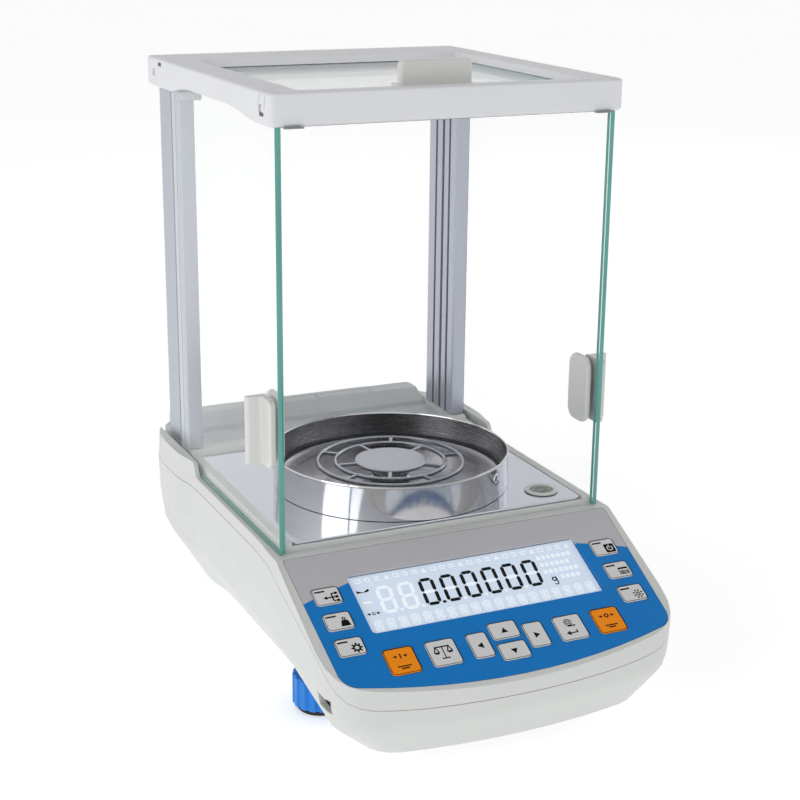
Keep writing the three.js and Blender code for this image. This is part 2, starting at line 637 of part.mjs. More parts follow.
const PAN_MIDDLE_RADIUS = PAN_RADIUS * 0.74;
const PAN_HUB_RADIUS = SUPPORT_RADIUS + 4;
function weighingPan() {
  const spokes = [];
  for (let i = 0; i < PAN_SPOKES; i += 1) {
    const inner = PAN_TURN + (360 / PAN_SPOKES) * i;
    spokes.push(panSpoke(inner, PAN_DISC_RADIUS - 1, PAN_MIDDLE_RADIUS));
    spokes.push(panSpoke(inner - 180 / PAN_SPOKES, PAN_MIDDLE_RADIUS, PAN_RADIUS - PAN_WIRE / 2));
  }
  const disc = turned([
    [0, PAN_TOP_Z - 1.6],
    [PAN_DISC_RADIUS, PAN_TOP_Z - 1.6],
    [PAN_DISC_RADIUS, PAN_TOP_Z - 0.4],
    [PAN_DISC_RADIUS - 0.4, PAN_TOP_Z],
    [0, PAN_TOP_Z],
  ], 0, 0, 40);
  const hub = cut(
    cylinder(PAN_HUB_RADIUS, 0, 0, PAN_TOP_Z - 7, PAN_TOP_Z - 1, 40),
    cylinder(SUPPORT_RADIUS - 2 + GAP, 0, 0, PAN_TOP_Z - 8, PAN_TOP_Z - 2, 40),
  );
  return union(
    disc,
    hub,
    panRing(PAN_MIDDLE_RADIUS, PAN_TOP_Z),
    panRing(PAN_RADIUS - PAN_WIRE / 2, PAN_TOP_Z),
    ...spokes,
  );
}
piece('weighing_pan', weighingPan(), polishedSteel);

// The carrier: a turned post on the weighing cell, with a cone that centres the pan.
const CELL_TOP_Z = DECK_Z - 24;
piece('pan_support', turned([
  [0, CELL_TOP_Z],
  [SUPPORT_RADIUS + 2.5, CELL_TOP_Z],
  [SUPPORT_RADIUS + 2.5, CELL_TOP_Z + 5],
  [SUPPORT_RADIUS, CELL_TOP_Z + 6],
  [SUPPORT_RADIUS, PAN_TOP_Z - 7.4],
  [SUPPORT_RADIUS - 2, PAN_TOP_Z - 7.4],
  [SUPPORT_RADIUS - 2, PAN_TOP_Z - 4],
  [SUPPORT_RADIUS - 3, PAN_TOP_Z - 2.4],
  [0, PAN_TOP_Z - 2.4],
], 0, 0, 28), brushedSteel);

// ---------------------------------------------------------------- glass shield

piece('front_glass', prism(
  roundedRect(2 * (COLUMN_HALF_SPAN), GLASS, 0.5, 0, CHAMBER_FRONT_Y + GLASS / 2),
  GLASS_BOTTOM_Z,
  FRAME_BOTTOM_Z - GAP,
  { curveSegments: 2 },
), clearGlass);

const REAR_GLASS_Y = COLUMN_FRONT_Y + 16;
piece('rear_glass', box(
  [-COLUMN_HALF_SPAN + COLUMN_WIDTH - 2, REAR_GLASS_Y, PLINTH_TOP_Z + 2 + GAP],
  [COLUMN_HALF_SPAN - COLUMN_WIDTH + 2, REAR_GLASS_Y + GLASS, FRAME_BOTTOM_Z - GAP],
), clearGlass);

// Aluminium column: an upright extrusion with two open grooves on its inner face.
function column(side) {
  const outer = side * COLUMN_HALF_SPAN;
  const inner = side * (COLUMN_HALF_SPAN - COLUMN_WIDTH);
  const rearY = COLUMN_FRONT_Y + COLUMN_DEPTH;
  const bottomZ = PLINTH_TOP_Z + 2 + GAP;
  const topZ = FRAME_BOTTOM_Z - GAP;
  const slab = (x0, x1, y0, y1) => box(
    [Math.min(x0, x1), y0, bottomZ - 1], [Math.max(x0, x1), y1, topZ + 1],
  );
  const blank = prism(
    roundedRect(COLUMN_WIDTH, COLUMN_DEPTH, 0.8, (outer + inner) / 2, (COLUMN_FRONT_Y + rearY) / 2),
    bottomZ, topZ, { curveSegments: 2 },
  );
  const glassGroove = slab(inner - side, inner + side * 2.4, REAR_GLASS_Y - GAP, REAR_GLASS_Y + GLASS + GAP);
  const screwGroove = slab(inner - side, inner + side * 4, COLUMN_FRONT_Y + 7.4, COLUMN_FRONT_Y + 10);
  const rearGroove = slab(inner - side, inner + side * 4, COLUMN_FRONT_Y + 25.5, COLUMN_FRONT_Y + 28);
  const sideGroove = slab(outer + side, outer - side * 1.6, COLUMN_FRONT_Y + 13.5, COLUMN_FRONT_Y + 15.5);
  return cut(solid(blank), glassGroove, screwGroove, rearGroove, sideGroove);
}
piece('left_column', column(-1), aluminium);
piece('right_column', column(1), aluminium);

// Side doors: glass sheets that slide rearwards in their channels.
const DOOR_LENGTH = CHAMBER_DEPTH + 6;
const DOOR_TOP_Z = FRAME_BOTTOM_Z + 5;
for (const [name, side] of [['left', -1], ['right', 1]]) {
  const x = side * (DOOR_INNER_X + GLASS / 2);
  const sheet = prism(
    roundedRect(GLASS, DOOR_LENGTH, 0.5, x, CHAMBER_FRONT_Y + DOOR_LENGTH / 2),
    GLASS_BOTTOM_Z,
    DOOR_TOP_Z,
    { curveSegments: 2 },
  );
  piece(`${name}_door_glass`, sheet, clearGlass);
}

// Door handle, outer half: a plate on the glass with a grip fin standing out of it.
function outerHandle(side) {
  const plateX = DOOR_OUTER_X + GAP;
  const section = new THREE.Shape();
  section.moveTo(plateX, -12);
  section.lineTo(plateX + 2.6, -12);
  section.quadraticCurveTo(plateX + 3.4, -11, plateX + 3.2, -3);
  section.quadraticCurveTo(plateX + 3.6, -1, plateX + 6, -0.8);
  section.lineTo(plateX + 9.6, -0.6);
  section.quadraticCurveTo(plateX + 11.4, 0, plateX + 11.4, 2);
  section.quadraticCurveTo(plateX + 11.2, 4.4, plateX + 9, 4.4);
  section.lineTo(plateX + 3, 5.4);
  section.lineTo(plateX, 5.6);
  const grip = solid(prism(section, HANDLE_BOTTOM_Z, HANDLE_BOTTOM_Z + HANDLE_HEIGHT, { curveSegments: 4 }));
  const outline = sideways(prism(
    roundedRect(17.8, HANDLE_HEIGHT, 3, -3.1, HANDLE_BOTTOM_Z + HANDLE_HEIGHT / 2),
    plateX - 1,
    plateX + 14,
  ));
  const shaped = grip.intersect(solid(outline));
  return side > 0 ? shaped : shaped.mirror([1, 0, 0]);
}

// Door handle, inner half: a thin rounded plate on the inside of the glass.
function innerHandle(side) {
  const centreZ = HANDLE_BOTTOM_Z + HANDLE_HEIGHT / 2;
  const plate = sideways(prism(
    roundedRect(INNER_HANDLE_WIDTH, HANDLE_HEIGHT + 2, 7, INNER_HANDLE_SHIFT, centreZ), 0, 3.4,
    { bevel: 0.8, bevelSegments: 1, curveSegments: 4 },
  ));
  const placed = solid(plate).translate([DOOR_INNER_X - GAP - 3.4, 0, 0]);
  return side > 0 ? placed : placed.mirror([1, 0, 0]);
}

const HANDLE_Y = CHAMBER_FRONT_Y + 14.6;
for (const [name, side] of [['left', -1], ['right', 1]]) {
  piece(`${name}_door_handle_outer`, outerHandle(side).translate([0, HANDLE_Y, 0]), whitePlastic);
  piece(`${name}_door_handle_inner`, innerHandle(side).translate([0, HANDLE_Y, 0]), whitePlastic);
}

// ---------------------------------------------------------------- top frame and top door

const FRAME_FRONT_Y = CHAMBER_FRONT_Y - 2.2;
const FRAME_REAR_Y = FRAME_FRONT_Y + FRAME_DEPTH;
const OPENING_FRONT_Y = FRAME_FRONT_Y + FRAME_FRONT_RAIL;
const OPENING_REAR_Y = OPENING_FRONT_Y + FRAME_OPENING_DEPTH;
const TOP_GLASS_Z = SHIELD_TOP_Z - TOP_GLASS_DROP - GLASS;
const TOP_GLASS_HALF_WIDTH = FRAME_OPENING_HALF_WIDTH + 4;

function topFrame() {
  const midY = (FRAME_FRONT_Y + FRAME_REAR_Y) / 2;
  const sideView = new THREE.Shape();
  const low = FRAME_BOTTOM_Z;
  const archZ = low + 4.6;
  sideView.moveTo(FRAME_REAR_Y, low + 1);
  sideView.lineTo(FRAME_REAR_Y, SHIELD_TOP_Z);
  sideView.lineTo(FRAME_FRONT_Y, SHIELD_TOP_Z);
  sideView.lineTo(FRAME_FRONT_Y, low);
  sideView.lineTo(FRAME_FRONT_Y + 12, low);
  sideView.bezierCurveTo(FRAME_FRONT_Y + 34, low, FRAME_FRONT_Y + 40, archZ, FRAME_FRONT_Y + 66, archZ);
  sideView.lineTo(FRAME_REAR_Y - 78, archZ);
  sideView.bezierCurveTo(FRAME_REAR_Y - 58, archZ, FRAME_REAR_Y - 52, low, FRAME_REAR_Y - 36, low);
  sideView.lineTo(FRAME_REAR_Y - 16, low);
  const plan = prism(
    roundedRect(2 * FRAME_HALF_WIDTH, FRAME_DEPTH, FRAME_CORNER_RADIUS, 0, midY),
    low, SHIELD_TOP_Z, { bevel: 1.6, bevelSegments: 3 },
  );
  const block = solid(plan).intersect(acrossBody(sideView, 10));
  const opening = box(
    [-FRAME_OPENING_HALF_WIDTH, OPENING_FRONT_Y, low - 5],
    [FRAME_OPENING_HALF_WIDTH, OPENING_REAR_Y, SHIELD_TOP_Z + 5],
  );
  const underside = box(
    [-COLUMN_HALF_SPAN + COLUMN_WIDTH, FRAME_FRONT_Y + 7.2, low - 5],
    [COLUMN_HALF_SPAN - COLUMN_WIDTH, COLUMN_FRONT_Y + COLUMN_DEPTH - 6, TOP_GLASS_Z - 3.2],
  );
  const doorSlots = [-1, 1].map((side) => box(
    [side > 0 ? CHANNEL_INNER_X : -CHANNEL_OUTER_X, CHAMBER_FRONT_Y - GAP, low - 5],
    [side > 0 ? CHANNEL_OUTER_X : -CHANNEL_INNER_X, FRAME_REAR_Y + 5, DOOR_TOP_Z + 0.6],
  ));
  const glassSlot = box(
    [-TOP_GLASS_HALF_WIDTH - 0.6, OPENING_FRONT_Y - 3.2, TOP_GLASS_Z - 0.4],
    [TOP_GLASS_HALF_WIDTH + 0.6, FRAME_REAR_Y + 5, TOP_GLASS_Z + GLASS + 0.4],
  );
  const latches = [];
  for (const side of [-1, 1]) {
    for (const y of [FRAME_FRONT_Y + 13, FRAME_REAR_Y - 14]) {
      latches.push(box(
        [side * FRAME_HALF_WIDTH - 1.2, y - 1.8, low + 6.2],
        [side * FRAME_HALF_WIDTH + 1.2, y + 1.8, low + 10],
      ));
    }
  }
  return cut(block, opening, underside, ...doorSlots, glassSlot, ...latches);
}
piece('top_frame', topFrame(), whitePlastic);

piece('top_door_glass', box(
  [-TOP_GLASS_HALF_WIDTH, OPENING_FRONT_Y - 2.6, TOP_GLASS_Z],
  [TOP_GLASS_HALF_WIDTH, FRAME_REAR_Y - 2, TOP_GLASS_Z + GLASS],
), clearGlass);

// Top door handle: a wide upright grip standing on the glass.
function topHandle() {
  const y = OPENING_FRONT_Y + 16;
  const sheetTop = TOP_GLASS_Z + GLASS;
  const foot = prism(roundedRect(42, 15, 3, 0, y + 1.5), sheetTop + GAP, sheetTop + 3.2);
  const grip = facing(prism(
    roundedRect(40, 14.5, 3, 0, TOP_GLASS_Z + GLASS + GAP + 8), 0, 5,
    { bevel: 0.8, bevelSegments: 1, curveSegments: 4 },
  )).translate(0, y + 2, 0);
  return union(solid(foot), solid(grip));
}
piece('top_door_handle', topHandle(), whitePlastic);

// ---------------------------------------------------------------- console panel, display and keys

// Key places in the console's frame: centre across, centre down the slope, width, height.
const SMALL_KEY = [14.6, 11.2];
const LARGE_KEY = [16, 16.2];
const ARROW_TALL = [11.2, 16];
const ARROW_WIDE = [15.8, 11];
const COLUMN_X = PANEL_HALF_WIDTH - 14.3;
const ROW_PITCH = 16.7;
const KEYS = [
  ...['mode', 'calibrate', 'setup'].map((name, i) => [name, -COLUMN_X, 10.8 + i * ROW_PITCH, SMALL_KEY]),
  ...['power', 'database', 'function'].map((name, i) => [name, COLUMN_X, 10.8 + i * ROW_PITCH, SMALL_KEY]),
  ['tare', -59, 58.2, LARGE_KEY],
  ['units', -36.3, 58.2, LARGE_KEY],
  ['arrow_left', -15.8, 58.2, ARROW_TALL],
  ['arrow_up', 0.3, 51.8, ARROW_WIDE],
  ['arrow_down', 0.3, 65.1, ARROW_WIDE],
  ['arrow_right', 16.3, 58.2, ARROW_TALL],
  ['print', 36.3, 58.2, LARGE_KEY],
  ['zero', 59, 58.2, LARGE_KEY],
];
const KEY_RADIUS = 2;

function keypadPanel() {
  const plate = solid(prism(panelShape(0), -PANEL_THICKNESS, 0, { curveSegments: 6 }));
  const keyHoles = KEYS.map(([, x, down, [width, height]]) => solid(prism(
    roundedRect(width + 2 * KEY_GAP, height + 2 * KEY_GAP, KEY_RADIUS + KEY_GAP, x, -down),
    -PANEL_THICKNESS - 1, 1, { curveSegments: 2 },
  )));
  const window = solid(prism(
    roundedRect(2 * LCD_HALF_WIDTH, LCD_LENGTH, 2.5, 0, -LCD_LENGTH / 2), -PANEL_THICKNESS - 1, 1,
  ));
  return cut(plate, window, ...keyHoles);
}
piece('keypad_panel', keypadPanel(), blueFilm, consoleGroup);

piece('lcd_window', prism(
  roundedRect(2 * (LCD_HALF_WIDTH - GAP), LCD_LENGTH - 2 * GAP, 2.2, 0, -LCD_LENGTH / 2), -1.2, -0.1,
), clearGlass, consoleGroup);
piece('lcd_module', prism(
  roundedRect(2 * (LCD_HALF_WIDTH - GAP), LCD_LENGTH - 2 * GAP, 1, 0, -LCD_LENGTH / 2), -4.6, -1.5,
  { curveSegments: 2 },
), displayGlass, consoleGroup);

for (const [name, x, down, [width, height]] of KEYS) {
  const cap = prism(
    roundedRect(width, height, KEY_RADIUS, x, -down), KEY_PROUD - KEY_THICKNESS, KEY_PROUD,
    { bevel: 0.3, bevelSegments: 1, curveSegments: 2 },
  );
  const material = name === 'tare' || name === 'zero' ? orangePlastic : keyPlastic;
  piece(`key_${name}`, cap, material, consoleGroup);
}

const BOARD_TOP = Math.min(-4.6, KEY_PROUD - KEY_THICKNESS - KEY_TRAVEL) - 0.5;
piece('display_board', union(
  box([-PANEL_HALF_WIDTH + 8.5, -51, BOARD_TOP - 1.6], [PANEL_HALF_WIDTH - 8.5, 1, BOARD_TOP]),
  box([-LCD_HALF_WIDTH + 1, -70, BOARD_TOP - 1.6], [LCD_HALF_WIDTH - 1, -50, BOARD_TOP]),
), circuitBoard, consoleGroup);

// ---------------------------------------------------------------- levelling feet

// A ribbed knob on a threaded stud; it turns, and the pad under it rises or falls.
function footKnob({ x, y }) {
  const outline = [];
  const step = (2 * Math.PI) / FOOT_RIBS;
  const ribCorners = [[0, 0], [0.55, 0], [0.68, FOOT_RIB_DEPTH], [0.87, FOOT_RIB_DEPTH]];
  for (let i = 0; i < FOOT_RIBS; i += 1) {
    for (const [share, depth] of ribCorners) {
      const angle = (i + share) * step;
      const radius = FOOT_RADIUS - depth;
      outline.push(new THREE.Vector2(x + radius * Math.cos(angle), y + radius * Math.sin(angle)));
    }
  }
  const knob = solid(prism(new THREE.Shape(outline), FOOT_PAD_HEIGHT + GAP, FOOT_HEIGHT));
  const stud = cylinder(STUD_RADIUS, x, y, FOOT_HEIGHT - 1, FOOT_HEIGHT + 17, 14);
  return union(knob, stud);
}

for (const foot of FEET) {
  piece(`foot_knob_${foot.name}`, footKnob(foot), bluePlastic);
  piece(`foot_pad_${foot.name}`, turned([
    [0, 0],
    [FOOT_RADIUS - 3, 0],
    [FOOT_RADIUS - 2.4, 0.8],
    [FOOT_RADIUS - 2.4, FOOT_PAD_HEIGHT],
    [0, FOOT_PAD_HEIGHT],
  ], foot.x, foot.y, 24), blackRubber);
}

// ---------------------------------------------------------------- weighing cell and electronics

// Cell block: a machined aluminium body with a slot for the lever and an open rear bay.
const CELL_FLOOR_Z = DECK_Z - 60;
const LEVER_Z = DECK_Z - 32;
const COIL_Y = 66;
function cellBody() {
  const block = box([-30, -38, CELL_FLOOR_Z], [30, 92, CELL_TOP_Z - 4]);
  const leverBay = box([-12, -20, LEVER_Z - 8], [12, 100, CELL_TOP_Z]);
  const magnetBay = cylinder(19, 0, COIL_Y, CELL_FLOOR_Z + 4, CELL_TOP_Z, 36);
  const posts = box([-12, -20, CELL_FLOOR_Z + 8], [12, 20, LEVER_Z + 10]);
  return cut(block, leverBay, magnetBay, posts);
}
piece('weighing_cell_body', cellBody(), aluminium);

function lever() {
  const beam = box([-9, -12, LEVER_Z - 4], [9, 74, LEVER_Z + 2]);
  const head = cylinder(8, 0, 0, LEVER_Z - 4, CELL_TOP_Z - GAP, 32);
  const window = box([-4, 16, LEVER_Z - 5], [4, 44, LEVER_Z + 4]);
  return cut(union(beam, head), window);
}
piece('weighing_lever', lever(), aluminium);

piece('magnet_pot', turned([
  [12.5, CELL_FLOOR_Z + 4 + GAP],
  [18, CELL_FLOOR_Z + 4 + GAP],
  [18, LEVER_Z - 9],
  [12.5, LEVER_Z - 9],
], 0, COIL_Y, 36), darkMetal);
piece('force_coil', turned([
  [9.5, CELL_FLOOR_Z + 10],
  [11.5, CELL_FLOOR_Z + 10],
  [11.5, LEVER_Z - 4 - GAP],
  [4, LEVER_Z - 4 - GAP],
  [4, LEVER_Z - 6],
  [9.5, LEVER_Z - 6],
], 0, COIL_Y, 32), brass);

// Internal adjustment mass on its lifting cradle, beside the cell.
const MASS = { x: 52, y: 10, radius: 12, length: 34, z: DECK_Z - 44 };
piece('adjustment_mass', facing(prism(
  roundedRect(2 * MASS.radius, 2 * MASS.radius, MASS.radius - 0.01, MASS.x, MASS.z), 0, MASS.length,
  { curveSegments: 8 },
)).translate(0, MASS.y + MASS.length / 2, 0), brass);
function cradle() {
  const block = box(
    [MASS.x - 14, MASS.y - 12, MASS.z - MASS.radius - 6],
    [MASS.x + 14, MASS.y + 12, MASS.z - 4],
  );
  const bed = facing(prism(
    roundedRect(
      2 * (MASS.radius + GAP), 2 * (MASS.radius + GAP), MASS.radius + GAP - 0.01, MASS.x, MASS.z,
    ), 0, 60, { curveSegments: 8 },
  )).translate(0, MASS.y + 30, 0);
  return cut(block, solid(bed));
}
piece('mass_cradle', cradle(), whitePlastic);

function liftMotor() {
  const canZ = MASS.z - 14;
  const frontY = MASS.y + MASS.length / 2 + 3;
  const can = facing(prism(roundedRect(20, 20, 6, MASS.x, canZ), 0, 28)).translate(0, frontY + 38, 0);
  const gearbox = box([MASS.x - 12, frontY, canZ - 12], [MASS.x + 12, frontY + 12, canZ + 12]);
  return union(solid(can), gearbox);
}
piece('lift_motor', liftMotor(), darkMetal);

const BOARD_HALF_WIDTH = REAR_HALF_WIDTH - 32;
const BOARD_Z = DECK_Z - 42;
piece('main_board', box(
  [-BOARD_HALF_WIDTH, REAR_Y - 70.5, BOARD_Z], [BOARD_HALF_WIDTH, REAR_Y - 14.5, BOARD_Z + 1.8],
), circuitBoard);

// Connector block on the rear wall, with its sockets open to the outside.
function connectorBlock() {
  const rearFace = REAR_Y - 1;
  const z0 = REAR_PANEL_Z - REAR_PANEL_HEIGHT / 2 + GAP;
  const z1 = REAR_PANEL_Z + REAR_PANEL_HEIGHT / 2 - GAP;
  const halfWidth = REAR_PANEL_WIDTH / 2 - GAP;
  const plate = box([-halfWidth, rearFace - 10, z0], [halfWidth, rearFace, z1]);
  const sockets = [
    [-46, 5.5, 5.5],
    [-22, 15, 5.4],
    [12, 15, 5.4],
    [42, 7, 6],
  ].map(([x, halfSpan, halfHeight]) => box(
    [x - halfSpan, rearFace - 8, REAR_PANEL_Z - halfHeight],
    [x + halfSpan, rearFace + 1, REAR_PANEL_Z + halfHeight],
  ));
  return cut(plate, ...sockets);
}
piece('rear_connector_block', connectorBlock(), blackRubber);

// Socket in the left side of the console.
function sideSocket() {
  const outerX = -CONSOLE_HALF_WIDTH + 6.5;
  const shell = box(
    [outerX, USB_Y - USB_HALF_WIDTH + GAP, USB_Z - USB_HALF_HEIGHT + GAP],
    [outerX + 9, USB_Y + USB_HALF_WIDTH - GAP, USB_Z + USB_HALF_HEIGHT - GAP],
  );
  const mouth = box([outerX - 1, USB_Y - 5.2, USB_Z - 2.4], [outerX + 8, USB_Y + 5.2, USB_Z + 2.4]);
  return cut(shell, mouth);
}
piece('side_socket', sideSocket(), darkMetal);

export default balance;
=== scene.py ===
"""Looks for the analytical balance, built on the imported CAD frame.

Materials, softened edges, printed marks, the display and fine detail. Numbers without a unit are millimetres.
"""

import json
import math

import bmesh
import bpy
from mathutils import Matrix, Vector
from mathutils.bvhtree import BVHTree

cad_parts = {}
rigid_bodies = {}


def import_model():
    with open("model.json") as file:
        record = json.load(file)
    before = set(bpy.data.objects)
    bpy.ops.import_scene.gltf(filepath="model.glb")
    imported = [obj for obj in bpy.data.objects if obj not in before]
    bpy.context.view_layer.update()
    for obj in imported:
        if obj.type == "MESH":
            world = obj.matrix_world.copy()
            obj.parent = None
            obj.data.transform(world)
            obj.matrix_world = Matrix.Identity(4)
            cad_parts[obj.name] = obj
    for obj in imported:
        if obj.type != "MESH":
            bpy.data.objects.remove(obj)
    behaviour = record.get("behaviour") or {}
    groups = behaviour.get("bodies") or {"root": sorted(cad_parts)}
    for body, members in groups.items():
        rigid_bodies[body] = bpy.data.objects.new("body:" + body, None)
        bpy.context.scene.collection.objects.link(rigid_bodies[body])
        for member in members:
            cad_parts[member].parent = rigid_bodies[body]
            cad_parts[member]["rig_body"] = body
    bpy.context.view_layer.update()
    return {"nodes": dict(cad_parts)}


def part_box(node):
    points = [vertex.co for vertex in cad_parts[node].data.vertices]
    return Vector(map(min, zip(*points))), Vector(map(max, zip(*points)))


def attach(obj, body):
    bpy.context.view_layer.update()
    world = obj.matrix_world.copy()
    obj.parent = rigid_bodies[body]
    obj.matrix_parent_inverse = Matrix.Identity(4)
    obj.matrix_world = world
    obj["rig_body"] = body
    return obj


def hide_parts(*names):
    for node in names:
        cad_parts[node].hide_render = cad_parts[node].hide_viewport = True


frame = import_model()
NODES = frame["nodes"]
MM = 0.001


# ---------------------------------------------------------------- node material helpers


def srgb(r, g, b):
    """Linear colour of an 8-bit sRGB triple."""
    return tuple(((c / 255 + 0.055) / 1.055) ** 2.4 if c > 10 else c / 255 / 12.92 for c in (r, g, b))


class Mat:
    """A principled material whose colour, roughness and bump come from procedural nodes in object space."""

    def __init__(self, name, **sockets):
        self.m = bpy.data.materials.new(name)
        self.m.use_nodes = True
        self.t = self.m.node_tree
        self.p = self.t.nodes["Principled BSDF"]
        self.coords = self.t.nodes.new("ShaderNodeTexCoord").outputs["Object"]
        for key, value in sockets.items():
            self.p.inputs[key.replace("_", " ")].default_value = value

    def link(self, a, b):
        self.t.links.new(a, b)

    def scaled(self, scale):
        n = self.t.nodes.new("ShaderNodeMapping")
        n.inputs["Scale"].default_value = scale
        self.link(self.coords, n.inputs["Vector"])
        return n.outputs["Vector"]

    def noise(self, scale, detail=3.0, rough=0.5, stretch=(1, 1, 1)):
        n = self.t.nodes.new("ShaderNodeTexNoise")
        n.inputs["Scale"].default_value = scale
        n.inputs["Detail"].default_value = detail
        n.inputs["Roughness"].default_value = rough
        self.link(self.scaled(stretch), n.inputs["Vector"])
        return n.outputs["Fac"]

    def math(self, op, a, b=0.0, clamp=False):
        n = self.t.nodes.new("ShaderNodeMath")
        n.operation = op
        n.use_clamp = clamp
        for value, socket in ((a, n.inputs[0]), (b, n.inputs[1])):
            if isinstance(value, (int, float)):
                socket.default_value = value
            else:
                self.link(value, socket)
        return n.outputs[0]

    def xyz(self):
        n = self.t.nodes.new("ShaderNodeSeparateXYZ")
        self.link(self.coords, n.inputs[0])
        return n.outputs

    def remap(self, value, low, high, to_low, to_high):
        n = self.t.nodes.new("ShaderNodeMapRange")
        n.inputs["From Min"].default_value = low
        n.inputs["From Max"].default_value = high
        n.inputs["To Min"].default_value = to_low
        n.inputs["To Max"].default_value = to_high
        self.link(value, n.inputs["Value"])
        return n.outputs[0]

    def mix(self, factor, a, b):
        n = self.t.nodes.new("ShaderNodeMix")
        n.data_type = "RGBA"
        self.link(factor, n.inputs["Factor"])
        for value, socket in ((a, n.inputs["A"]), (b, n.inputs["B"])):
            if isinstance(value, tuple):
                socket.default_value = (*value, 1)
            else:
                self.link(value, socket)
        return n.outputs["Result"]

    def colour(self, source):
        self.link(source, self.p.inputs["Base Color"])
        return self

    def roughness(self, source):
        self.link(source, self.p.inputs["Roughness"])
        return self

    def bump(self, height, strength, distance):
        n = self.t.nodes.new("ShaderNodeBump")
        n.inputs["Strength"].default_value = strength
        n.inputs["Distance"].default_value = distance
        self.link(height, n.inputs["Height"])
        self.link(n.outputs[0], self.p.inputs["Normal"])
        return self


def shade(colour, factor):
    return tuple(c * factor for c in colour)


def plastic(name, colour, rough=0.42, grain=2600, spread=0.03, bump=0.12, coat=0.0, gloss=0.5):
    """Moulded plastic: faint colour drift, fine spark-eroded grain and uneven gloss."""
    m = Mat(name, Coat_Weight=coat, Specular_IOR_Level=gloss)
    drift = m.noise(18, 2)
    m.colour(m.mix(drift, shade(colour, 1 - spread), shade(colour, 1 + spread)))
    fine = m.noise(grain, 2, 0.6)
    m.roughness(m.remap(m.noise(60, 4), 0.3, 0.7, rough - 0.05, rough + 0.06))
    return m.bump(fine, bump, 0.00004).m


def metal(name, colour, rough=0.3, stretch=(1, 1, 1), grain=900, spread=0.08, bump=0.15, metallic=1.0):
    """Metal with directional grain: stretch makes the streaks run along an axis."""
    m = Mat(name, Metallic=metallic)
    streak = m.noise(grain, 4, 0.65, stretch)
    m.colour(m.mix(streak, shade(colour, 1 - spread), shade(colour, 1 + spread)))
    m.roughness(m.remap(streak, 0.25, 0.75, rough * 0.75, rough * 1.3))
    return m.bump(streak, bump, 0.00002).m


def radial_painted_reflection(name, light, dark, rough, turns, phase):
    """Turned steel about the vertical axis: broad soft bands by angle are painted reflection, light and dark
    in the colour, with fine brushing round the axis as real grain.
    """
    m = Mat(name, Metallic=1.0)
    x, y, z = m.xyz()
    angle = m.math("ARCTAN2", y, x)
    # Painted reflection: light and dark bands that follow the angle round the axis.
    painted_reflection_wave = m.math("SINE", m.math("ADD", m.math("MULTIPLY", angle, turns), phase))
    painted_reflection_ripple = m.math("SINE", m.math("ADD", m.math("MULTIPLY", angle, turns * 2 + 1), phase * 2.3))
    reflection_and_grain_tone = m.math("ADD", m.math("MULTIPLY", painted_reflection_wave, 0.3), m.math("MULTIPLY", painted_reflection_ripple, 0.16))
    brushed = m.noise(40, 3, 0.6, (1, 1, 40))
    reflection_and_grain_tone = m.math("ADD", m.math("ADD", reflection_and_grain_tone, 0.42), m.math("MULTIPLY", brushed, 0.14), clamp=True)
    m.colour(m.mix(reflection_and_grain_tone, dark, light))
    m.roughness(m.remap(brushed, 0.3, 0.7, rough * 0.85, rough * 1.2))
    return m.bump(brushed, 0.02, 0.00001).m


def glass(name, colour, low, high, rough=0.02):
    """Thin clear sheet: nearly invisible face on, with more body at a glancing angle."""
    m = Mat(name, IOR=1.5)
    m.colour(m.mix(m.noise(9, 2), shade(colour, 0.97), colour))
    lw = m.t.nodes.new("ShaderNodeLayerWeight")
    lw.inputs["Blend"].default_value = 0.35
    glance = m.math("POWER", m.remap(lw.outputs["Facing"], 0.3, 0.85, 0, 1), 3.0)
    m.link(m.math("ADD", m.math("MULTIPLY", glance, high), low), m.p.inputs["Alpha"])
    m.roughness(m.remap(m.noise(40, 4), 0.3, 0.7, rough, rough * 2.5))
    return m.m


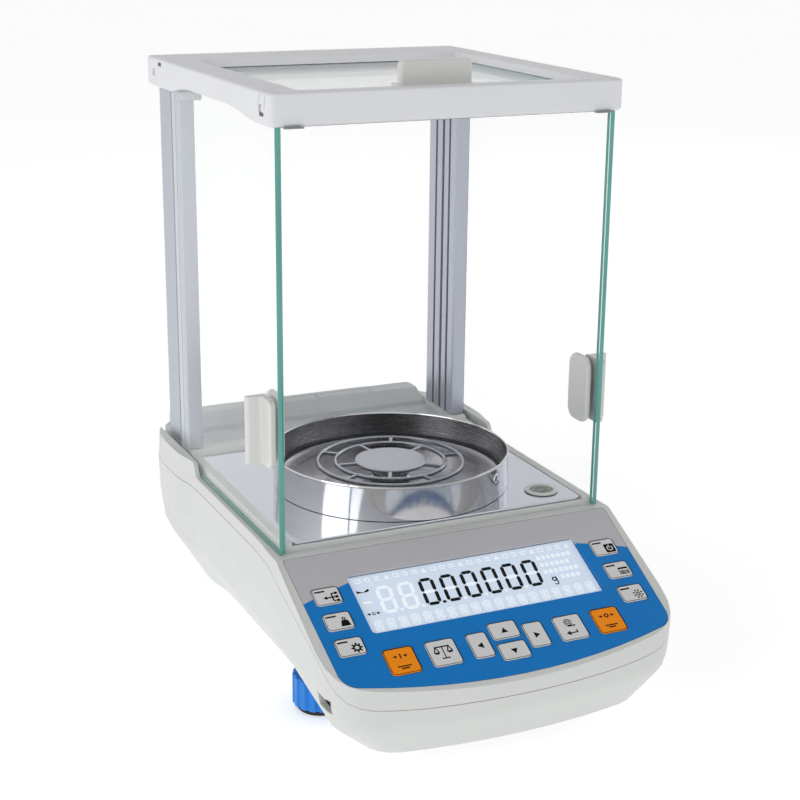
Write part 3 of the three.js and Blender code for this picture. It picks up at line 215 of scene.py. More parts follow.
M = {
    "housing": plastic("housing_plastic", srgb(211, 213, 211), 0.45),
    "frame": plastic("frame_plastic", srgb(217, 218, 221), 0.4),
    "cover": plastic("cover_plastic", srgb(196, 201, 203), 0.42),
    "handle": plastic("handle_plastic", srgb(212, 213, 210), 0.38, coat=0.1),
    "shadow": plastic("shadow_gap", srgb(92, 94, 90), 0.8),
    "faint": plastic("faint_print", srgb(134, 138, 142), 0.5),
    "key": plastic("key_film", srgb(219, 219, 219), 0.4, 1800, gloss=0.25),
    "key_orange": plastic("key_film_orange", srgb(252, 146, 6), 0.4, 1800, gloss=0.2),
    "ink": plastic("printed_ink", srgb(11, 11, 12), 0.6, 3000, 0.1, gloss=0.1),
    "foot": plastic("foot_blue", srgb(6, 124, 216), 0.36, 1500),
    "rubber": plastic("pad_rubber", srgb(38, 38, 41), 0.85, 900, 0.12, 0.4),
    "connector": plastic("connector_black", srgb(34, 35, 38), 0.5),
    "board": plastic("solder_mask", srgb(28, 104, 58), 0.35, 400, 0.1, 0.3),
    "liquid": plastic("level_liquid", srgb(120, 128, 116), 0.12),
    "steel": metal("bright_steel", srgb(206, 208, 214), 0.13, (1, 1, 1), 700, 0.05, 0.05),
    "mirror": metal("mirror_sheet", srgb(203, 207, 217), 0.09, (0.06, 1, 1), 500, 0.04, 0.04),
    "column": metal("anodised_column", srgb(181, 185, 196), 0.36, (1, 1, 0.02), 1600, 0.05, 0.1, 0.75),
    "cell": metal("machined_alloy", srgb(190, 192, 196), 0.35, (0.1, 1, 1), 900, 0.08, 0.2),
    "brass": metal("turned_brass", srgb(206, 176, 92), 0.25, (1, 1, 1), 800, 0.08, 0.1),
    "iron": metal("dark_iron", srgb(88, 90, 95), 0.5, (1, 1, 1), 700, 0.15, 0.3),
    "socket": metal("stamped_shell", srgb(160, 163, 168), 0.35),
    # The draft ring and bottom shield get painted reflection: bands of light and dark by angle in their
    # colour.
    "ring_out": radial_painted_reflection("ring_polished_painted_reflection", srgb(240, 238, 236), srgb(150, 151, 156), 0.09, 2, 0.6),
    "ring_in": radial_painted_reflection("ring_brushed_painted_reflection", srgb(206, 205, 206), srgb(74, 74, 79), 0.26, 3, 1.1),
    "dish": radial_painted_reflection("dish_brushed_painted_reflection", srgb(206, 206, 210), srgb(96, 96, 102), 0.2, 2, 2.4),
    "pan": metal("pan_polished", srgb(176, 179, 188), 0.2, (1, 1, 1), 500, 0.05, 0.04),
    # The pan support gets painted reflection too: bands of light and dark by angle in its colour.
    "post": radial_painted_reflection("post_turned_painted_reflection", srgb(190, 191, 195), srgb(90, 92, 96), 0.2, 2, 0.3),
    "glass": glass("clear_glass", srgb(244, 248, 249), 0.012, 0.85),
    "glass_edge": plastic("glass_edge", srgb(88, 160, 150), 0.18, 300, 0.16, 0.1),
    "window": glass("display_cover", srgb(235, 240, 248), 0.006, 0.1),
}


def panel_material():
    """Printed film: grey above a shallow arc, blue below it."""
    m = Mat("panel_film", Specular_IOR_Level=0.2)
    x, y, z = m.xyz()
    down = m.math("ADD", m.math("MULTIPLY", m.math("SUBTRACT", LCD_TOP.y, y), COS),
                  m.math("MULTIPLY", m.math("SUBTRACT", LCD_TOP.z, z), SIN))
    arc = m.math("SUBTRACT", m.math("MULTIPLY", m.math("MULTIPLY", x, x), 1 / 0.518), 0.0041)
    arc = m.math("MAXIMUM", arc, 0.001)
    edge = m.remap(m.math("SUBTRACT", down, arc), -0.00008, 0.00008, 0, 1)
    drift = m.noise(30, 3)
    grey = m.mix(drift, srgb(186, 185, 190), srgb(193, 192, 197))
    blue = m.mix(drift, srgb(2, 118, 196), srgb(8, 125, 204))
    m.colour(m.mix(edge, grey, blue))
    m.roughness(m.remap(m.noise(80, 4), 0.3, 0.7, 0.34, 0.46))
    return m.bump(m.noise(2400, 2), 0.08, 0.00003).m


def display_material():
    m = Mat("display_face")
    base = m.mix(m.noise(25, 2), srgb(210, 225, 243), srgb(217, 231, 247))
    m.colour(base)
    m.link(base, m.p.inputs["Emission Color"])
    m.p.inputs["Emission Strength"].default_value = 0.22
    m.roughness(m.remap(m.noise(70, 3), 0.3, 0.7, 0.2, 0.3))
    return m.bump(m.noise(900, 2), 0.04, 0.00002).m


def ghost_material():
    m = Mat("display_ghost")
    base = m.mix(m.noise(40, 2), srgb(236, 243, 252), srgb(241, 247, 254))
    m.colour(base)
    m.link(base, m.p.inputs["Emission Color"])
    m.p.inputs["Emission Strength"].default_value = 0.3
    m.roughness(m.remap(m.noise(70, 3), 0.3, 0.7, 0.22, 0.32))
    return m.m


# ---------------------------------------------------------------- the console's own plane

SLOPE = math.radians(26.13)
COS, SIN = math.cos(SLOPE), math.sin(SLOPE)
DOWN = Vector((0, -COS, -SIN))
OUT = Vector((0, -SIN, COS))
# Top edge of the display opening, in the film's outer face.
LCD_TOP = Vector((0, -0.0767, 0.0898)) + 0.0169 * DOWN
M["panel"] = panel_material()
M["display"] = display_material()
M["ghost"] = ghost_material()
KEY_TOP = 0.35


def on_panel(x, t, h):
    """A point x mm across, t mm down the slope from the display's top and h mm proud of the film."""
    return LCD_TOP + Vector((x * MM, 0, 0)) + DOWN * (t * MM) + OUT * (h * MM)


# ---------------------------------------------------------------- mesh helpers


def body_of_node(node):
    return NODES[node]["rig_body"]


def finish_object(name, bm, materials, body, smooth=32):
    mesh = bpy.data.meshes.new(name)
    bm.to_mesh(mesh)
    bm.free()
    for m in materials:
        mesh.materials.append(m)
    for p in mesh.polygons:
        p.use_smooth = True
    mesh.set_sharp_from_angle(angle=math.radians(smooth))
    o = bpy.data.objects.new(name, mesh)
    bpy.context.scene.collection.objects.link(o)
    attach(o, body)
    return o


def soften(o, width, segments=2, angle=32):
    """Small rounded edges that catch the light."""
    bevel = o.modifiers.new("edges", "BEVEL")
    bevel.width = width * MM
    bevel.segments = segments
    bevel.limit_method = "ANGLE"
    bevel.angle_limit = math.radians(angle)
    bevel.harden_normals = False
    bevel.miter_outer = "MITER_ARC"
    weighted = o.modifiers.new("weights", "WEIGHTED_NORMAL")
    weighted.keep_sharp = True
    return o


AREA_SLACK = 0.0005


def triangle_area(bm):
    total = 0
    for corners in bm.calc_loop_triangles():
        a, b, c = (corner.vert.co for corner in corners)
        total += (b - a).cross(c - a).length / 2
    return total


def cad_copy(node, merge=True):
    """The CAD mesh with flat areas merged into single faces, unless that would change its area."""
    bm = bmesh.new()
    bm.from_mesh(NODES[node].data)
    bmesh.ops.remove_doubles(bm, verts=bm.verts, dist=2e-6)
    for f in bm.faces:
        f.material_index = 0
    if not merge:
        return bm
    merged = bm.copy()
    bmesh.ops.dissolve_limit(merged, angle_limit=math.radians(0.4), verts=merged.verts, edges=merged.edges)
    if abs(triangle_area(merged) / triangle_area(bm) - 1) > AREA_SLACK:
        merged.free()
        return bm
    bm.free()
    return merged


def dressed(node, material, width=0.35, smooth=32, segments=2, merge=True):
    """The CAD node's shape with softened edges."""
    bm = cad_copy(node, merge)
    o = finish_object(f"{node}_shown", bm, [M[material]], body_of_node(node), smooth)
    if width:
        soften(o, width, segments, smooth)
    else:
        o.modifiers.new("weights", "WEIGHTED_NORMAL").keep_sharp = True
    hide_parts(node)
    return o


def prism_mesh(bm, points, low, high):
    """Adds a closed prism between two lists of matching points."""
    a = [bm.verts.new(low(p)) for p in points]
    b = [bm.verts.new(high(p)) for p in points]
    n = len(points)
    faces = [bm.faces.new(list(reversed(a))), bm.faces.new(b)]
    for i in range(n):
        j = (i + 1) % n
        faces.append(bm.faces.new((a[i], a[j], b[j], b[i])))
    return faces


def print_on(name, shapes, h, thickness, material, body="base"):
    """Thin raised marks on the console plane; each shape is a polygon of (x, t) in mm."""
    bm = bmesh.new()
    for shape in shapes:
        prism_mesh(bm, shape, lambda p: on_panel(*p, h), lambda p: on_panel(*p, h + thickness))
    bmesh.ops.recalc_face_normals(bm, faces=bm.faces)
    return finish_object(name, bm, [M[material]], body)


def rect(cx, ct, w, h):
    x0, x1, t0, t1 = cx - w / 2, cx + w / 2, ct - h / 2, ct + h / 2
    return [(x0, t0), (x1, t0), (x1, t1), (x0, t1)]


def rounded(cx, ct, w, h, r, n=5):
    points = []
    for sx, st, start in ((1, -1, -90), (1, 1, 0), (-1, 1, 90), (-1, -1, 180)):
        for i in range(n + 1):
            a = math.radians(start + 90 * i / n)
            points.append((cx + sx * (w / 2 - r) + r * math.cos(a), ct + st * (h / 2 - r) + r * math.sin(a)))
    return points


def frame_shapes(outer, inner):
    """Quads that fill the space between two outlines of equal count."""
    n = len(outer)
    return [[outer[i], outer[(i + 1) % n], inner[(i + 1) % n], inner[i]] for i in range(n)]


def hoop(cx, ct, r0, r1, n=20, first=0, last=None):
    last = n if last is None else last
    at = lambda r, i: (cx + r * math.cos(2 * math.pi * i / n), ct + r * math.sin(2 * math.pi * i / n))
    return [[at(r0, i), at(r1, i), at(r1, i + 1), at(r0, i + 1)] for i in range(first, last)]


def bar(x0, t0, x1, t1, w):
    dx, dt = x1 - x0, t1 - t0
    n = math.hypot(dx, dt)
    ox, ot = -dt / n * w / 2, dx / n * w / 2
    return [(x0 + ox, t0 + ot), (x1 + ox, t1 + ot), (x1 - ox, t1 - ot), (x0 - ox, t0 - ot)]


def lathe(name, profile, materials, body, centre=(0, 0), segments=128, pick=None, smooth=35):
    """Revolves a closed profile of (radius, height) in mm about an upright axis."""
    bm = bmesh.new()
    rings = []
    for k in range(segments):
        a = 2 * math.pi * k / segments
        places = [(centre[0] + r * math.cos(a), centre[1] + r * math.sin(a), z) for r, z in profile]
        rings.append([bm.verts.new([c * MM for c in place]) for place in places])
    n = len(profile)
    for k in range(segments):
        a, b = rings[k], rings[(k + 1) % segments]
        for i in range(n):
            j = (i + 1) % n
            f = bm.faces.new((a[i], b[i], b[j], a[j]))
            f.material_index = pick(i) if pick else 0
    bmesh.ops.remove_doubles(bm, verts=bm.verts, dist=1e-6)
    bmesh.ops.recalc_face_normals(bm, faces=bm.faces)
    return finish_object(name, bm, [M[m] for m in materials], body, smooth)


# ---------------------------------------------------------------- housing, frame, columns

dressed("lower_housing", "housing", 0.5, 28)
dressed("upper_housing", "housing", 0, 28)
dressed("rear_cover", "cover", 0.8, 25)
dressed("top_frame", "frame", 0, 30, merge=False)
dressed("left_column", "column", 0.25, 30)
dressed("right_column", "column", 0.25, 30)
for side in ("left", "right"):
    dressed(f"{side}_door_handle_outer", "handle", 0.7, 40, segments=3)
    dressed(f"{side}_door_handle_inner", "handle", 0.5, 40)
dressed("top_door_handle", "handle", 0.7, 40, segments=3)
dressed("keypad_panel", "panel", 0.12, 40)
dressed("chamber_floor_plate", "mirror", 0.2, 40)


# ---------------------------------------------------------------- glass sheets with ground edges


def sheet_pick(node, axis):
    """Clear faces and ground green edges; edges seated in the housing or columns are clear too."""
    seated = {"front_glass": Vector((0, 0, -1)), "left_door_glass": Vector((0, 1, 0)),
              "right_door_glass": Vector((0, 1, 0))}.get(node)

    def pick(f):
        hidden = node == "rear_glass" or seated and f.normal.dot(seated) > 0.9
        return 0 if abs(f.normal[axis]) > 0.9 or hidden else 1

    return pick


SHEET_AXES = {"front_glass": 1, "rear_glass": 1, "left_door_glass": 0, "right_door_glass": 0,
              "top_door_glass": 2}
for node, axis in SHEET_AXES.items():
    bm = cad_copy(node)
    for f in bm.faces:
        f.material_index = sheet_pick(node, axis)(f)
    looks = [M["glass"], M["glass_edge"]]
    o = finish_object(f"{node}_sheet", bm, looks, body_of_node(node), 30)
    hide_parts(node)

# ---------------------------------------------------------------- draft ring, dish, pan

low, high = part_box("draft_ring")
R, RING_BOTTOM, RING_TOP = high.x / MM, low.z / MM, high.z / MM
RING_WALL = 1.2
ring_profile = [
    (R - RING_WALL, RING_BOTTOM),
    (R, RING_BOTTOM),
    (R, RING_TOP - 1.6),
    (R + 0.25, RING_TOP - 0.9),
    (R, RING_TOP - 0.25),
    (R - 0.5, RING_TOP),
    (R - 1.0, RING_TOP - 0.25),
    (R - 1.3, RING_TOP - 0.9),
    (R - RING_WALL, RING_TOP - 1.6),
]
FIRST_INNER_FACE = 7
ring = lathe("draft_ring_shown", ring_profile, ["ring_out", "ring_in"], "draft_ring", segments=160,
             pick=lambda i: 1 if i >= FIRST_INNER_FACE else 0)
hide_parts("draft_ring")

dressed("bottom_shield", "dish", 0.3, 40)
dressed("weighing_pan", "pan", 0.3, 35)
dressed("pan_support", "post", 0.3, 35)

# ---------------------------------------------------------------- frame clips, guides, labels, eyelet


def block(name, low, high, material, body, width=0.2):
    """A small box between two corners in mm, with softened edges."""
    bm = bmesh.new()
    bmesh.ops.create_cube(bm, size=1)
    size = Vector(high) - Vector(low)
    centre = (Vector(high) + Vector(low)) / 2
    for v in bm.verts:
        v.co = (Vector(v.co[i] * size[i] for i in range(3)) + centre) * MM
    o = finish_object(name, bm, [M[material]], body)
    return soften(o, width)


def strip(name, points, half, lift, material, body):
    """A thin flat strip along points (point, outward normal) in mm, half mm wide each side, proud by lift."""
    bm = bmesh.new()
    rows = []
    for i, (p, n) in enumerate(points):
        p, n = Vector(p), Vector(n).normalized()
        q = Vector(points[min(i + 1, len(points) - 1)][0]) - Vector(points[max(i - 1, 0)][0])
        across = n.cross(q).normalized() * half
        corners = (p - across, p - across + n * lift, p + across + n * lift, p + across)
        rows.append([bm.verts.new(corner * MM) for corner in corners])
    for a, b in zip(rows, rows[1:]):
        for i in range(4):
            j = (i + 1) % 4
            bm.faces.new((a[i], a[j], b[j], b[i]))
    bm.faces.new(rows[0])
    bm.faces.new(list(reversed(rows[-1])))
    bmesh.ops.recalc_face_normals(bm, faces=bm.faces)
    return finish_object(name, bm, [M[material]], body)


low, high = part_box("top_frame")
SIDE_X, TOP_Z = high.x / MM, high.z / MM
shell_mesh = NODES["top_frame"].data
SHELL = BVHTree.FromPolygons([v.co for v in shell_mesh.vertices], [p.vertices for p in shell_mesh.polygons])


def on_shell(start, way):
    """The frame's surface point and normal met from start along way."""
    point, normal, _, _ = SHELL.ray_cast(Vector(start) * MM, Vector(way).normalized())
    return (point / MM, normal) if point else None


def clip_line(name, side, y):
    """A thin split line that climbs the frame's side at depth y, rounds its edge and runs inwards."""
    x = side * SIDE_X
    steps = ((0, 8.2), (0.1, 5.5), (0.5, 3.6))
    rays = [((x + side * 8, y - back, TOP_Z - drop), (-side, 0, 0)) for back, drop in steps]
    for k in range(5):
        a = math.radians(12 + 18 * k)
        way = Vector((-side * math.cos(a), 0, -math.sin(a)))
        rays.append((Vector((x - side * 4, y - 1.0 - 0.55 * k, TOP_Z - 4)) - way * 20, way))
    rays.append(((x - side * 7, y - 4.4, TOP_Z + 8), (0, 0, -1)))
    path = [p for p in (on_shell(*ray) for ray in rays) if p]
    strip(name, path, 0.17, 0.05, "faint", "base")


def mirrored_block(name, side, inner_x, outer_x, ys, zs, material, width):
    """A block on the left (side -1) or right of the frame."""
    xs = sorted((side * inner_x, side * outer_x))
    block(name, (xs[0], ys[0], zs[0]), (xs[1], ys[1], zs[1]), material, "base", width)


SIDES = ((-1, "left"), (1, "right"))

# Spring clips that hold the top frame to the glass: two thin split lines each, and a dark block of painted
# shade where the release slot sits.
for side, label in SIDES:
    for y, tag in ((-58.8, "a"), (-66.2, "b")):
        clip_line(f"clip_line_{label}_{tag}", side, y)
    for y, z, tag in ((-62.2, 314.8, "front"), (102.5, 322.8, "rear")):
        mirrored_block(f"clip_slot_{tag}_{label}", side, SIDE_X, SIDE_X + 0.08, (y - 2.8, y + 2.8),
                       (z - 1.2, z + 0.7), "shadow", 0.02)

# Guides under the frame at the column tops, and pads under its front corners.
UNDER_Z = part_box("front_glass")[1].z / MM
column_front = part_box("left_column")[0].y / MM
glass_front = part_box("front_glass")[0].y / MM
for side, label in SIDES:
    mirrored_block(f"column_guide_{label}", side, 79.2, 91.3, (column_front - 3.6, column_front - 0.1),
                   (UNDER_Z - 5.0, UNDER_Z + 0.3), "cover", 0.9)
    mirrored_block(f"corner_pad_{label}", side, 81.0, 91.0, (glass_front - 4.4, glass_front - 1.4),
                   (UNDER_Z - 0.3, UNDER_Z + 0.4), "faint", 0.2)

# Two blank label outlines on the rear cover's ridge.
cover_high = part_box("rear_cover")[1]
ridge_z, ridge_y = cover_high.z / MM, cover_high.y / MM
for tag, x0, x1 in (("wide", -62, 14), ("narrow", 14.6, 52)):
    y0, y1 = ridge_y - 13.5, ridge_y - 5.5
    corners = [(x, y, ridge_z) for x, y in ((x0, y0), (x1, y0), (x1, y1), (x0, y1))]
    for i in range(4):
        ends = [(corners[i], (0, 0, 1)), (corners[(i + 1) % 4], (0, 0, 1))]
        strip(f"label_{tag}_{i}", ends, 0.2, 0.03, "faint", "base")

# Lifting eyelet on the outside of the draft ring.
EYELET_ANGLE = math.radians(-54.36)
EYELET_Z = 107.6


def eyelet(name, profile, material):
    """Revolves (radius, proud) about the line that leaves the ring at the eyelet's angle."""
    axis = Vector((math.cos(EYELET_ANGLE), math.sin(EYELET_ANGLE), 0))
    across = Vector((-axis.y, axis.x, 0))
    bm = bmesh.new()
    count = 28
    rings = []
    for k in range(count):
        a = 2 * math.pi * k / count
        spread = across * math.cos(a) + Vector((0, 0, 1)) * math.sin(a)
        centre = Vector((0, 0, EYELET_Z))
        rings.append([bm.verts.new((axis * (R + proud) + centre + spread * r) * MM) for r, proud in profile])
    n = len(profile)
    for k in range(count):
        a, b = rings[k], rings[(k + 1) % count]
        for i in range(n):
            j = (i + 1) % n
            bm.faces.new((a[i], b[i], b[j], a[j]))
    bmesh.ops.recalc_face_normals(bm, faces=bm.faces)
    return finish_object(name, bm, [M[material]], "draft_ring", 40)


eyelet("ring_eyelet", [(1.5, -0.3), (3.0, -0.3), (3.0, 0.25), (2.6, 0.55), (1.9, 0.55), (1.5, 0.2)], "steel")
# The bore is a dark plug of painted shade that fills the eyelet's hole.
eyelet("ring_eyelet_bore_painted_shade", [(0.05, -0.3), (1.45, -0.3), (1.45, 0.12), (0.05, 0.12)], "shadow")

# ---------------------------------------------------------------- keys and their marks

LEGEND_KEYS = ("mode", "calibrate", "setup", "power", "database", "function")
ORANGE_KEYS = ("tare", "zero")
ARROW_KEYS = ("arrow_left", "arrow_up", "arrow_down", "arrow_right")
KEYS = (*LEGEND_KEYS, "tare", "units", *ARROW_KEYS, "print", "zero")
KEY_THICKNESS = 2.6
SYMBOL_INK = 0.03


def key_place(name):
    """Centre across, centre down the slope, width and height of a key."""
    low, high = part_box(f"key_{name}")
    centre = (low + high) / 2
    t = (centre - LCD_TOP).dot(DOWN) / MM
    width = (high.x - low.x) / MM
    height = (high.y - low.y) / MM / COS - KEY_THICKNESS * SIN / COS
    return centre.x / MM, t, width, height


def arrow(cx, ct, direction, size=1.9):
    turn = {"up": (0, -1), "down": (0, 1), "left": (-1, 0), "right": (1, 0)}[direction]
    side = (turn[1], turn[0])
    tip = (cx + turn[0] * size, ct + turn[1] * size)
    back_x, back_t = cx - turn[0] * size * 0.7, ct - turn[1] * size * 0.7
    base = [(back_x + s * side[0] * size, back_t + s * side[1] * size) for s in (1, -1)]
    return [tip, *base]


def inward_pair(cx, ct, gap):
    """Two small arrows that point at each other."""
    shapes = []
    for s in (-1, 1):
        x = cx + s * gap
        shapes.append(bar(x + s * 2.0, ct, x + s * 0.6, ct, 0.55))
        shapes.append([(x - s * 0.2, ct), (x + s * 1.1, ct - 1.0), (x + s * 1.1, ct + 1.0)])
    return shapes


def rays(cx, ct, inner, outer, width, first=0.0):
    """Eight bars that point away from a centre; first shifts them by that share of a step."""
    shapes = []
    for i in range(8):
        a = 2 * math.pi * (i + first) / 8
        c, s = math.cos(a), math.sin(a)
        shapes.append(bar(cx + inner * c, ct + inner * s, cx + outer * c, ct + outer * s, width))
    return shapes


def mode_icon(x, t):
    """An arrow that leaves a tree of three boxes."""
    shapes = [bar(x - 3, t, x + 0.6, t, 0.8), arrow(x - 3.2, t, "left", 1.2)]
    shapes.append(bar(x + 0.6, t - 2.4, x + 0.6, t + 2.4, 0.8))
    for dt in (-2.4, 0, 2.4):
        shapes += [bar(x + 0.6, t + dt, x + 2, t + dt, 0.8), rect(x + 3, t + dt, 1.7, 1.5)]
    return shapes


def weight_icon(x, t):
    body = [(x - 2.6, t + 2.4), (x - 1.7, t - 1.2), (x + 1.7, t - 1.2), (x + 2.6, t + 2.4)]
    return [body, *hoop(x, t - 2.2, 0.5, 1.1, 14)]


def gear_icon(x, t, r=2.7):
    return [*hoop(x, t, r * 0.42, r * 0.78, 20), *rays(x, t, r * 0.7, r * 1.12, r * 0.34)]


def square_icon(x, t):
    return [rounded(x, t, 6.0, 6.0, 0.8)]


def table_icon(x, t):
    edge = frame_shapes(rounded(x, t, 5.8, 4.8, 0.3), rounded(x, t, 5.1, 4.1, 0.2))
    rows = [rect(x, t + 0.3, 5.2, 0.6), rect(x, t + 1.4, 5.2, 0.6)]
    return [*edge, rect(x, t - 1.7, 5.4, 0.9), rect(x - 0.9, t + 0.8, 0.4, 3.0), *rows]


def spark_icon(x, t):
    return [*hoop(x, t, 0.7, 1.3, 16), *rays(x, t, 1.8, 3, 0.8, 0.5)]


def two_lines(x, t):
    """Plain bars where a word would stand."""
    return [rect(x, t + 3.4, 7.4, 0.7), rect(x, t + 4.7, 4.2, 0.8)]


def tare_icon(x, t):
    return [*inward_pair(x, t - 2.8, 1.9), rect(x, t - 2.8, 0.7, 3.0), *two_lines(x, t)]


def zero_icon(x, t):
    return [*inward_pair(x, t - 2.8, 2.4), *hoop(x, t - 2.8, 0.7, 1.4, 18), *two_lines(x, t)]


def scales_icon(x, t):
    """A beam scale with two hanging pans."""
    shapes = [rect(x, t - 3.6, 8.2, 0.8), rect(x, t - 0.2, 0.55, 7.4), rect(x, t + 3.6, 4.4, 0.7)]
    for s in (-1, 1):
        hang = x + s * 3.6
        for reach in (1.3, -1.3):
            shapes.append(bar(hang, t - 3.6, hang + s * reach, t - 0.4, 0.6))
        rim, foot = t - 0.5, t + 0.7
        shapes.append([(hang - 1.7, rim), (hang + 1.7, rim), (hang + 0.9, foot), (hang - 0.9, foot)])
    return shapes


def print_icon(x, t):
    """A paper roll over a return arrow."""
    roll = [*hoop(x - 0.3, t - 3.2, 0.7, 1.2, 18), *hoop(x - 0.3, t - 3.2, 1.7, 2.2, 22)]
    bars = [bar(x - 2.6, t + 3.6, x + 2.4, t + 3.6, 0.7), bar(x + 2.4, t + 1.9, x + 2.4, t + 3.9, 0.7)]
    return [*roll, rect(x + 0.9, t - 0.9, 4.6, 0.8), *bars, arrow(x - 2.6, t + 3.6, "left", 1.5)]


ICONS = {"mode": mode_icon, "calibrate": weight_icon, "setup": gear_icon, "power": square_icon,
         "database": table_icon, "function": spark_icon, "tare": tare_icon, "zero": zero_icon,
         "units": scales_icon, "print": print_icon}


def key_symbol(name, x, t):
    if name in ARROW_KEYS:
        return [arrow(x, t + 0.4, name.split("_")[1])]
    return ICONS[name](x, t)


def key(name):
    """A key with its outline and symbol; a key with a legend also gets a bar where the word would stand."""
    body = f"key_{name}"
    dressed(body, "key_orange" if name in ORANGE_KEYS else "key", 0.12, 40)
    x, t, w, h = key_place(name)
    outline = frame_shapes(rounded(x, t, w - 0.3, h - 0.3, 1.8), rounded(x, t, w - 1.0, h - 1.0, 1.5))
    print_on(f"outline_{name}", outline, KEY_TOP, 0.02, "ink", body)
    ix, it = x, t
    if name in LEGEND_KEYS:
        ix, it = x + (1.9 if name == "mode" else 3.0), t + 1.3
    print_on(f"symbol_{name}", key_symbol(name, ix, it), KEY_TOP, SYMBOL_INK, "ink", body)
    if name == "power":
        sign = [*hoop(ix, it, 1.25, 1.85, 24, -3, 16), bar(ix, it - 2.3, ix, it, 0.6)]
        print_on("power_symbol", sign, KEY_TOP + SYMBOL_INK, 0.02, "key", body)
    if name in LEGEND_KEYS:
        print_on(f"dash_{name}", [rect(x - 3.2, t - 3.2, 5.6, 0.95)], KEY_TOP, SYMBOL_INK, "ink", body)


for name in KEYS:
    key(name)

# ---------------------------------------------------------------- display: face, lit digits, unlit segments

dressed("lcd_module", "display", 0.1, 40)
dressed("lcd_window", "window", 0.1, 40)
FACE = -1.5
LEAN = 0.072
SEGMENT_GAP = 0.22


def segment_set(cx, top, height, width, thick, lit):
    """The named segments of a leaning seven-segment digit as hexagons."""
    g = SEGMENT_GAP
    mid = top + height / 2
    half = (width - thick) / 2
    rows = {"a": top + thick / 2, "g": mid, "d": top + height - thick / 2}
    shapes = []

    def lean(points):
        return [(px + (mid - pt) * LEAN, pt) for px, pt in points]

    for key, row in rows.items():
        if key in lit:
            a, b, k = cx - half + g, cx + half - g, thick / 2
            above, below = row - k, row + k
            outline = [(a, row), (a + k, above), (b - k, above), (b, row), (b - k, below), (a + k, below)]
            shapes.append(lean(outline))
    for key, sx, r0, r1 in (("f", -1, "a", "g"), ("b", 1, "a", "g"), ("e", -1, "g", "d"), ("c", 1, "g", "d")):
        if key in lit:
            x, a, b, k = cx + sx * half, rows[r0] + g, rows[r1] - g, thick / 2
            left, right = x - k, x + k
            outline = [(x, a), (right, a + k), (right, b - k), (x, b), (left, b - k), (left, a + k)]
            shapes.append(lean(outline))
    return shapes


FIRST, PITCH, DIGIT_TOP, DIGIT_HEIGHT, DIGIT_WIDTH, STROKE = -26.6, 12.0, 9.0, 18.0, 8.8, 2.0
digits = []
for i in range(6):
    digits += segment_set(FIRST + i * PITCH, DIGIT_TOP, DIGIT_HEIGHT, DIGIT_WIDTH, STROKE, "abcdef")
digits.append(rect(-21.4, 26.1, 1.9, 1.6))
# unit symbol, stability mark and zero mark
digits += hoop(44.0, 24.6, 0.75, 1.5, 22)
digits.append(rect(45.3, 25.3, 0.65, 4.4))
digits += hoop(44.2, 27.2, 0.75, 1.35, 22, 0, 10)
digits.append([(-64.6, 9.6), (-61.2, 11.4), (-64.6, 11.4)])
digits.append([(-57.8, 9.2), (-57.8, 11.0), (-60.8, 11.0)])
digits.append(rect(-61, 11.2, 4.4, 0.35))
digits += [*inward_pair(-61, 25.6, 1.6), *hoop(-61, 25.6, 0.6, 1.0, 18)]
print_on("display_digits", digits, FACE, 0.05, "ink")

ghosts = []
for i in (-2, -1):
    ghosts += segment_set(FIRST + i * PITCH, DIGIT_TOP, DIGIT_HEIGHT, DIGIT_WIDTH, STROKE, "abcdefg")
for i in range(6):
    ghosts += segment_set(FIRST + i * PITCH, DIGIT_TOP, DIGIT_HEIGHT, DIGIT_WIDTH, STROKE, "g")
for i in (-2, -1, 1, 2, 3, 4):
    ghosts.append(rect(FIRST + i * PITCH + 5.2, 26.1, 1.7, 1.6))
ghosts.append(rect(-61.4, 18.0, 4.4, 1.5))
for i in range(19):
    cx = -61.2 + i * 6.8
    top, tall, wide = 30.2, 7.0, 4.4
    mid = top + tall / 2
    ghosts += segment_set(cx, top, tall, wide, 0.6, "abcdefg")
    ghosts += [bar(cx, top + 0.9, cx, mid - 0.5, 0.5), bar(cx, mid + 0.5, cx, top + tall - 0.9, 0.5)]
    for sx in (-1, 1):
        ghosts += [bar(cx + sx * 1.5, top + 0.9, cx + sx * 0.4, mid - 0.5, 0.4),
                   bar(cx + sx * 1.5, top + tall - 0.9, cx + sx * 0.4, mid + 0.5, 0.4)]
    ghosts.append(rect(cx + 3.1, top + tall - 0.3, 0.6, 0.6))
for i in range(24):
    cx = -61.5 + i * 5.35
    kind = i % 4
    if kind == 0:
        ghosts += frame_shapes(rounded(cx, 3.7, 3.4, 2.8, 0.4, 2), rounded(cx, 3.7, 2.4, 1.8, 0.2, 2))
    elif kind == 1:
        ghosts += hoop(cx, 3.7, 0.9, 1.5, 14)
    elif kind == 2:
        ghosts += [rect(cx, 2.9, 3.2, 0.7), rect(cx, 4.6, 3.2, 0.7)]
    else:
        ghosts.append([(cx - 1.5, 5.1), (cx, 2.3), (cx + 1.5, 5.1)])
for row, (start, count) in enumerate(((41.5, 7), (41.5, 6), (41.5, 7), (49.5, 4))):
    for i in range(count):
        ghosts.append(rounded(start + i * 3.1, 9.2 + row * 4.9, 2.1, 2.6, 0.5, 2))
print_on("display_ghosts", ghosts, FACE, 0.02, "ghost")

# ---------------------------------------------------------------- level, feet, inner works

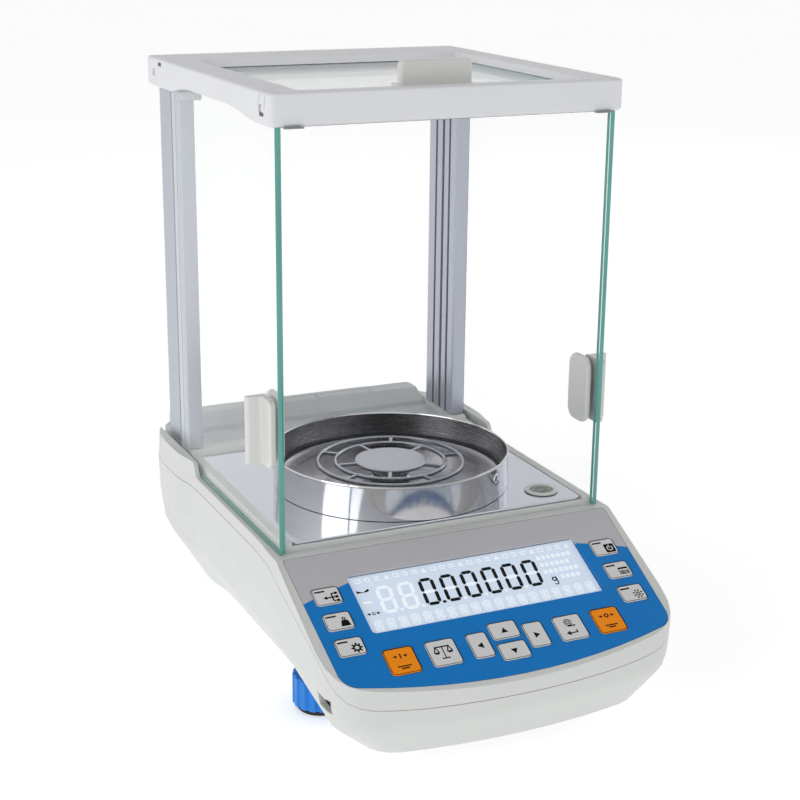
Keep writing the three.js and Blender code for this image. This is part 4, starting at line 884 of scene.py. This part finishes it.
dressed("level_bezel", "handle", 0.3, 40)
dressed("level_vial", "liquid", 0.2, 40)
low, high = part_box("level_vial")
vx, vy, vz = (low.x + high.x) / 2 / MM, (low.y + high.y) / 2 / MM, high.z / MM
bubble_profile = [(0.2, vz + 0.02), (2.4, vz + 0.02), (2.2, vz + 0.3), (1.2, vz + 0.42), (0.2, vz + 0.45)]
lathe("level_bubble", bubble_profile, ["window"], "base", (vx, vy), 32)
mark_profile = [(3.0, vz + 0.01), (3.35, vz + 0.01), (3.35, vz + 0.06), (3.0, vz + 0.06)]
lathe("level_mark", mark_profile, ["ink"], "base", (vx, vy), 40)

for corner in ("front_left", "front_right", "rear_left", "rear_right"):
    dressed(f"foot_knob_{corner}", "foot", 0.5, 30)
    dressed(f"foot_pad_{corner}", "rubber", 0.4, 30)

for node, material in (("weighing_cell_body", "cell"), ("weighing_lever", "cell"), ("magnet_pot", "iron"),
                       ("force_coil", "brass"), ("adjustment_mass", "brass"), ("mass_cradle", "connector"),
                       ("lift_motor", "iron"), ("main_board", "board"), ("display_board", "board"),
                       ("rear_connector_block", "connector"), ("side_socket", "socket")):
    dressed(node, material, 0.25, 35)

# ---------------------------------------------------------------- studio


def studio():
    bm = bmesh.new()
    size = 14
    vs = [bm.verts.new((x, y, 0)) for x, y in ((-size, -size), (size, -size), (size, size), (-size, size))]
    bm.faces.new(vs)
    mesh = bpy.data.meshes.new("floor")
    bm.to_mesh(mesh)
    bm.free()
    m = Mat("floor_paint")
    m.colour(m.mix(m.noise(3, 2), (0.955, 0.955, 0.955), (0.97, 0.97, 0.97)))
    m.roughness(m.remap(m.noise(20, 3), 0.3, 0.7, 0.85, 0.95))
    m.p.inputs["Emission Color"].default_value = (1, 1, 1, 1)
    m.p.inputs["Emission Strength"].default_value = 0.4
    mesh.materials.append(m.m)
    floor = bpy.data.objects.new("floor", mesh)
    bpy.context.scene.collection.objects.link(floor)

    world = bpy.data.worlds.new("studio")
    bpy.context.scene.world = world
    world.use_nodes = True
    background = world.node_tree.nodes["Background"]
    split = world.node_tree.nodes.new("ShaderNodeSeparateXYZ")
    coords = world.node_tree.nodes.new("ShaderNodeTexCoord")
    fade = world.node_tree.nodes.new("ShaderNodeMapRange")
    for socket, value in (("From Min", 0.0), ("From Max", 0.9), ("To Min", 1.0), ("To Max", 0.42)):
        fade.inputs[socket].default_value = value
    world.node_tree.links.new(coords.outputs["Generated"], split.inputs[0])
    world.node_tree.links.new(split.outputs[2], fade.inputs["Value"])
    world.node_tree.links.new(fade.outputs[0], background.inputs["Color"])

    def area(name, location, target, size, power):
        data = bpy.data.lights.new(name, "AREA")
        data.shape = "RECTANGLE"
        data.size, data.size_y = size
        data.energy = power
        o = bpy.data.objects.new(name, data)
        o.location = location
        o.rotation_euler = (Vector(target) - Vector(location)).to_track_quat("-Z", "Y").to_euler()
        bpy.context.scene.collection.objects.link(o)

    area("key", (-1.7, -0.5, 0.9), (0, 0, 0.15), (1.2, 1.2), 7)
    area("rim", (1.4, 0.9, 1.1), (0, 0, 0.15), (1.0, 1.0), 2)


studio()

# The camera looks at the front left corner from slightly above.
RIGHT = Vector((0.907296, -0.420373, 0.009979))
UP = Vector((0.115646, 0.272275, 0.955245))
AHEAD = Vector((0.404276, 0.865536, -0.295649))
cam_data = bpy.data.cameras.new("camera")
cam_data.sensor_width = 36
cam_data.lens = 73.652
cam_data.clip_start, cam_data.clip_end = 0.05, 50
camera = bpy.data.objects.new("camera", cam_data)
bpy.context.scene.collection.objects.link(camera)
camera.matrix_world = Matrix((
    (RIGHT.x, UP.x, -AHEAD.x, -0.369335),
    (RIGHT.y, UP.y, -AHEAD.y, -0.802809),
    (RIGHT.z, UP.z, -AHEAD.z, 0.415840),
    (0, 0, 0, 1),
))
bpy.context.scene.camera = camera
bpy.context.scene.view_settings.view_transform = "Standard"

bpy.context.view_layer.update()
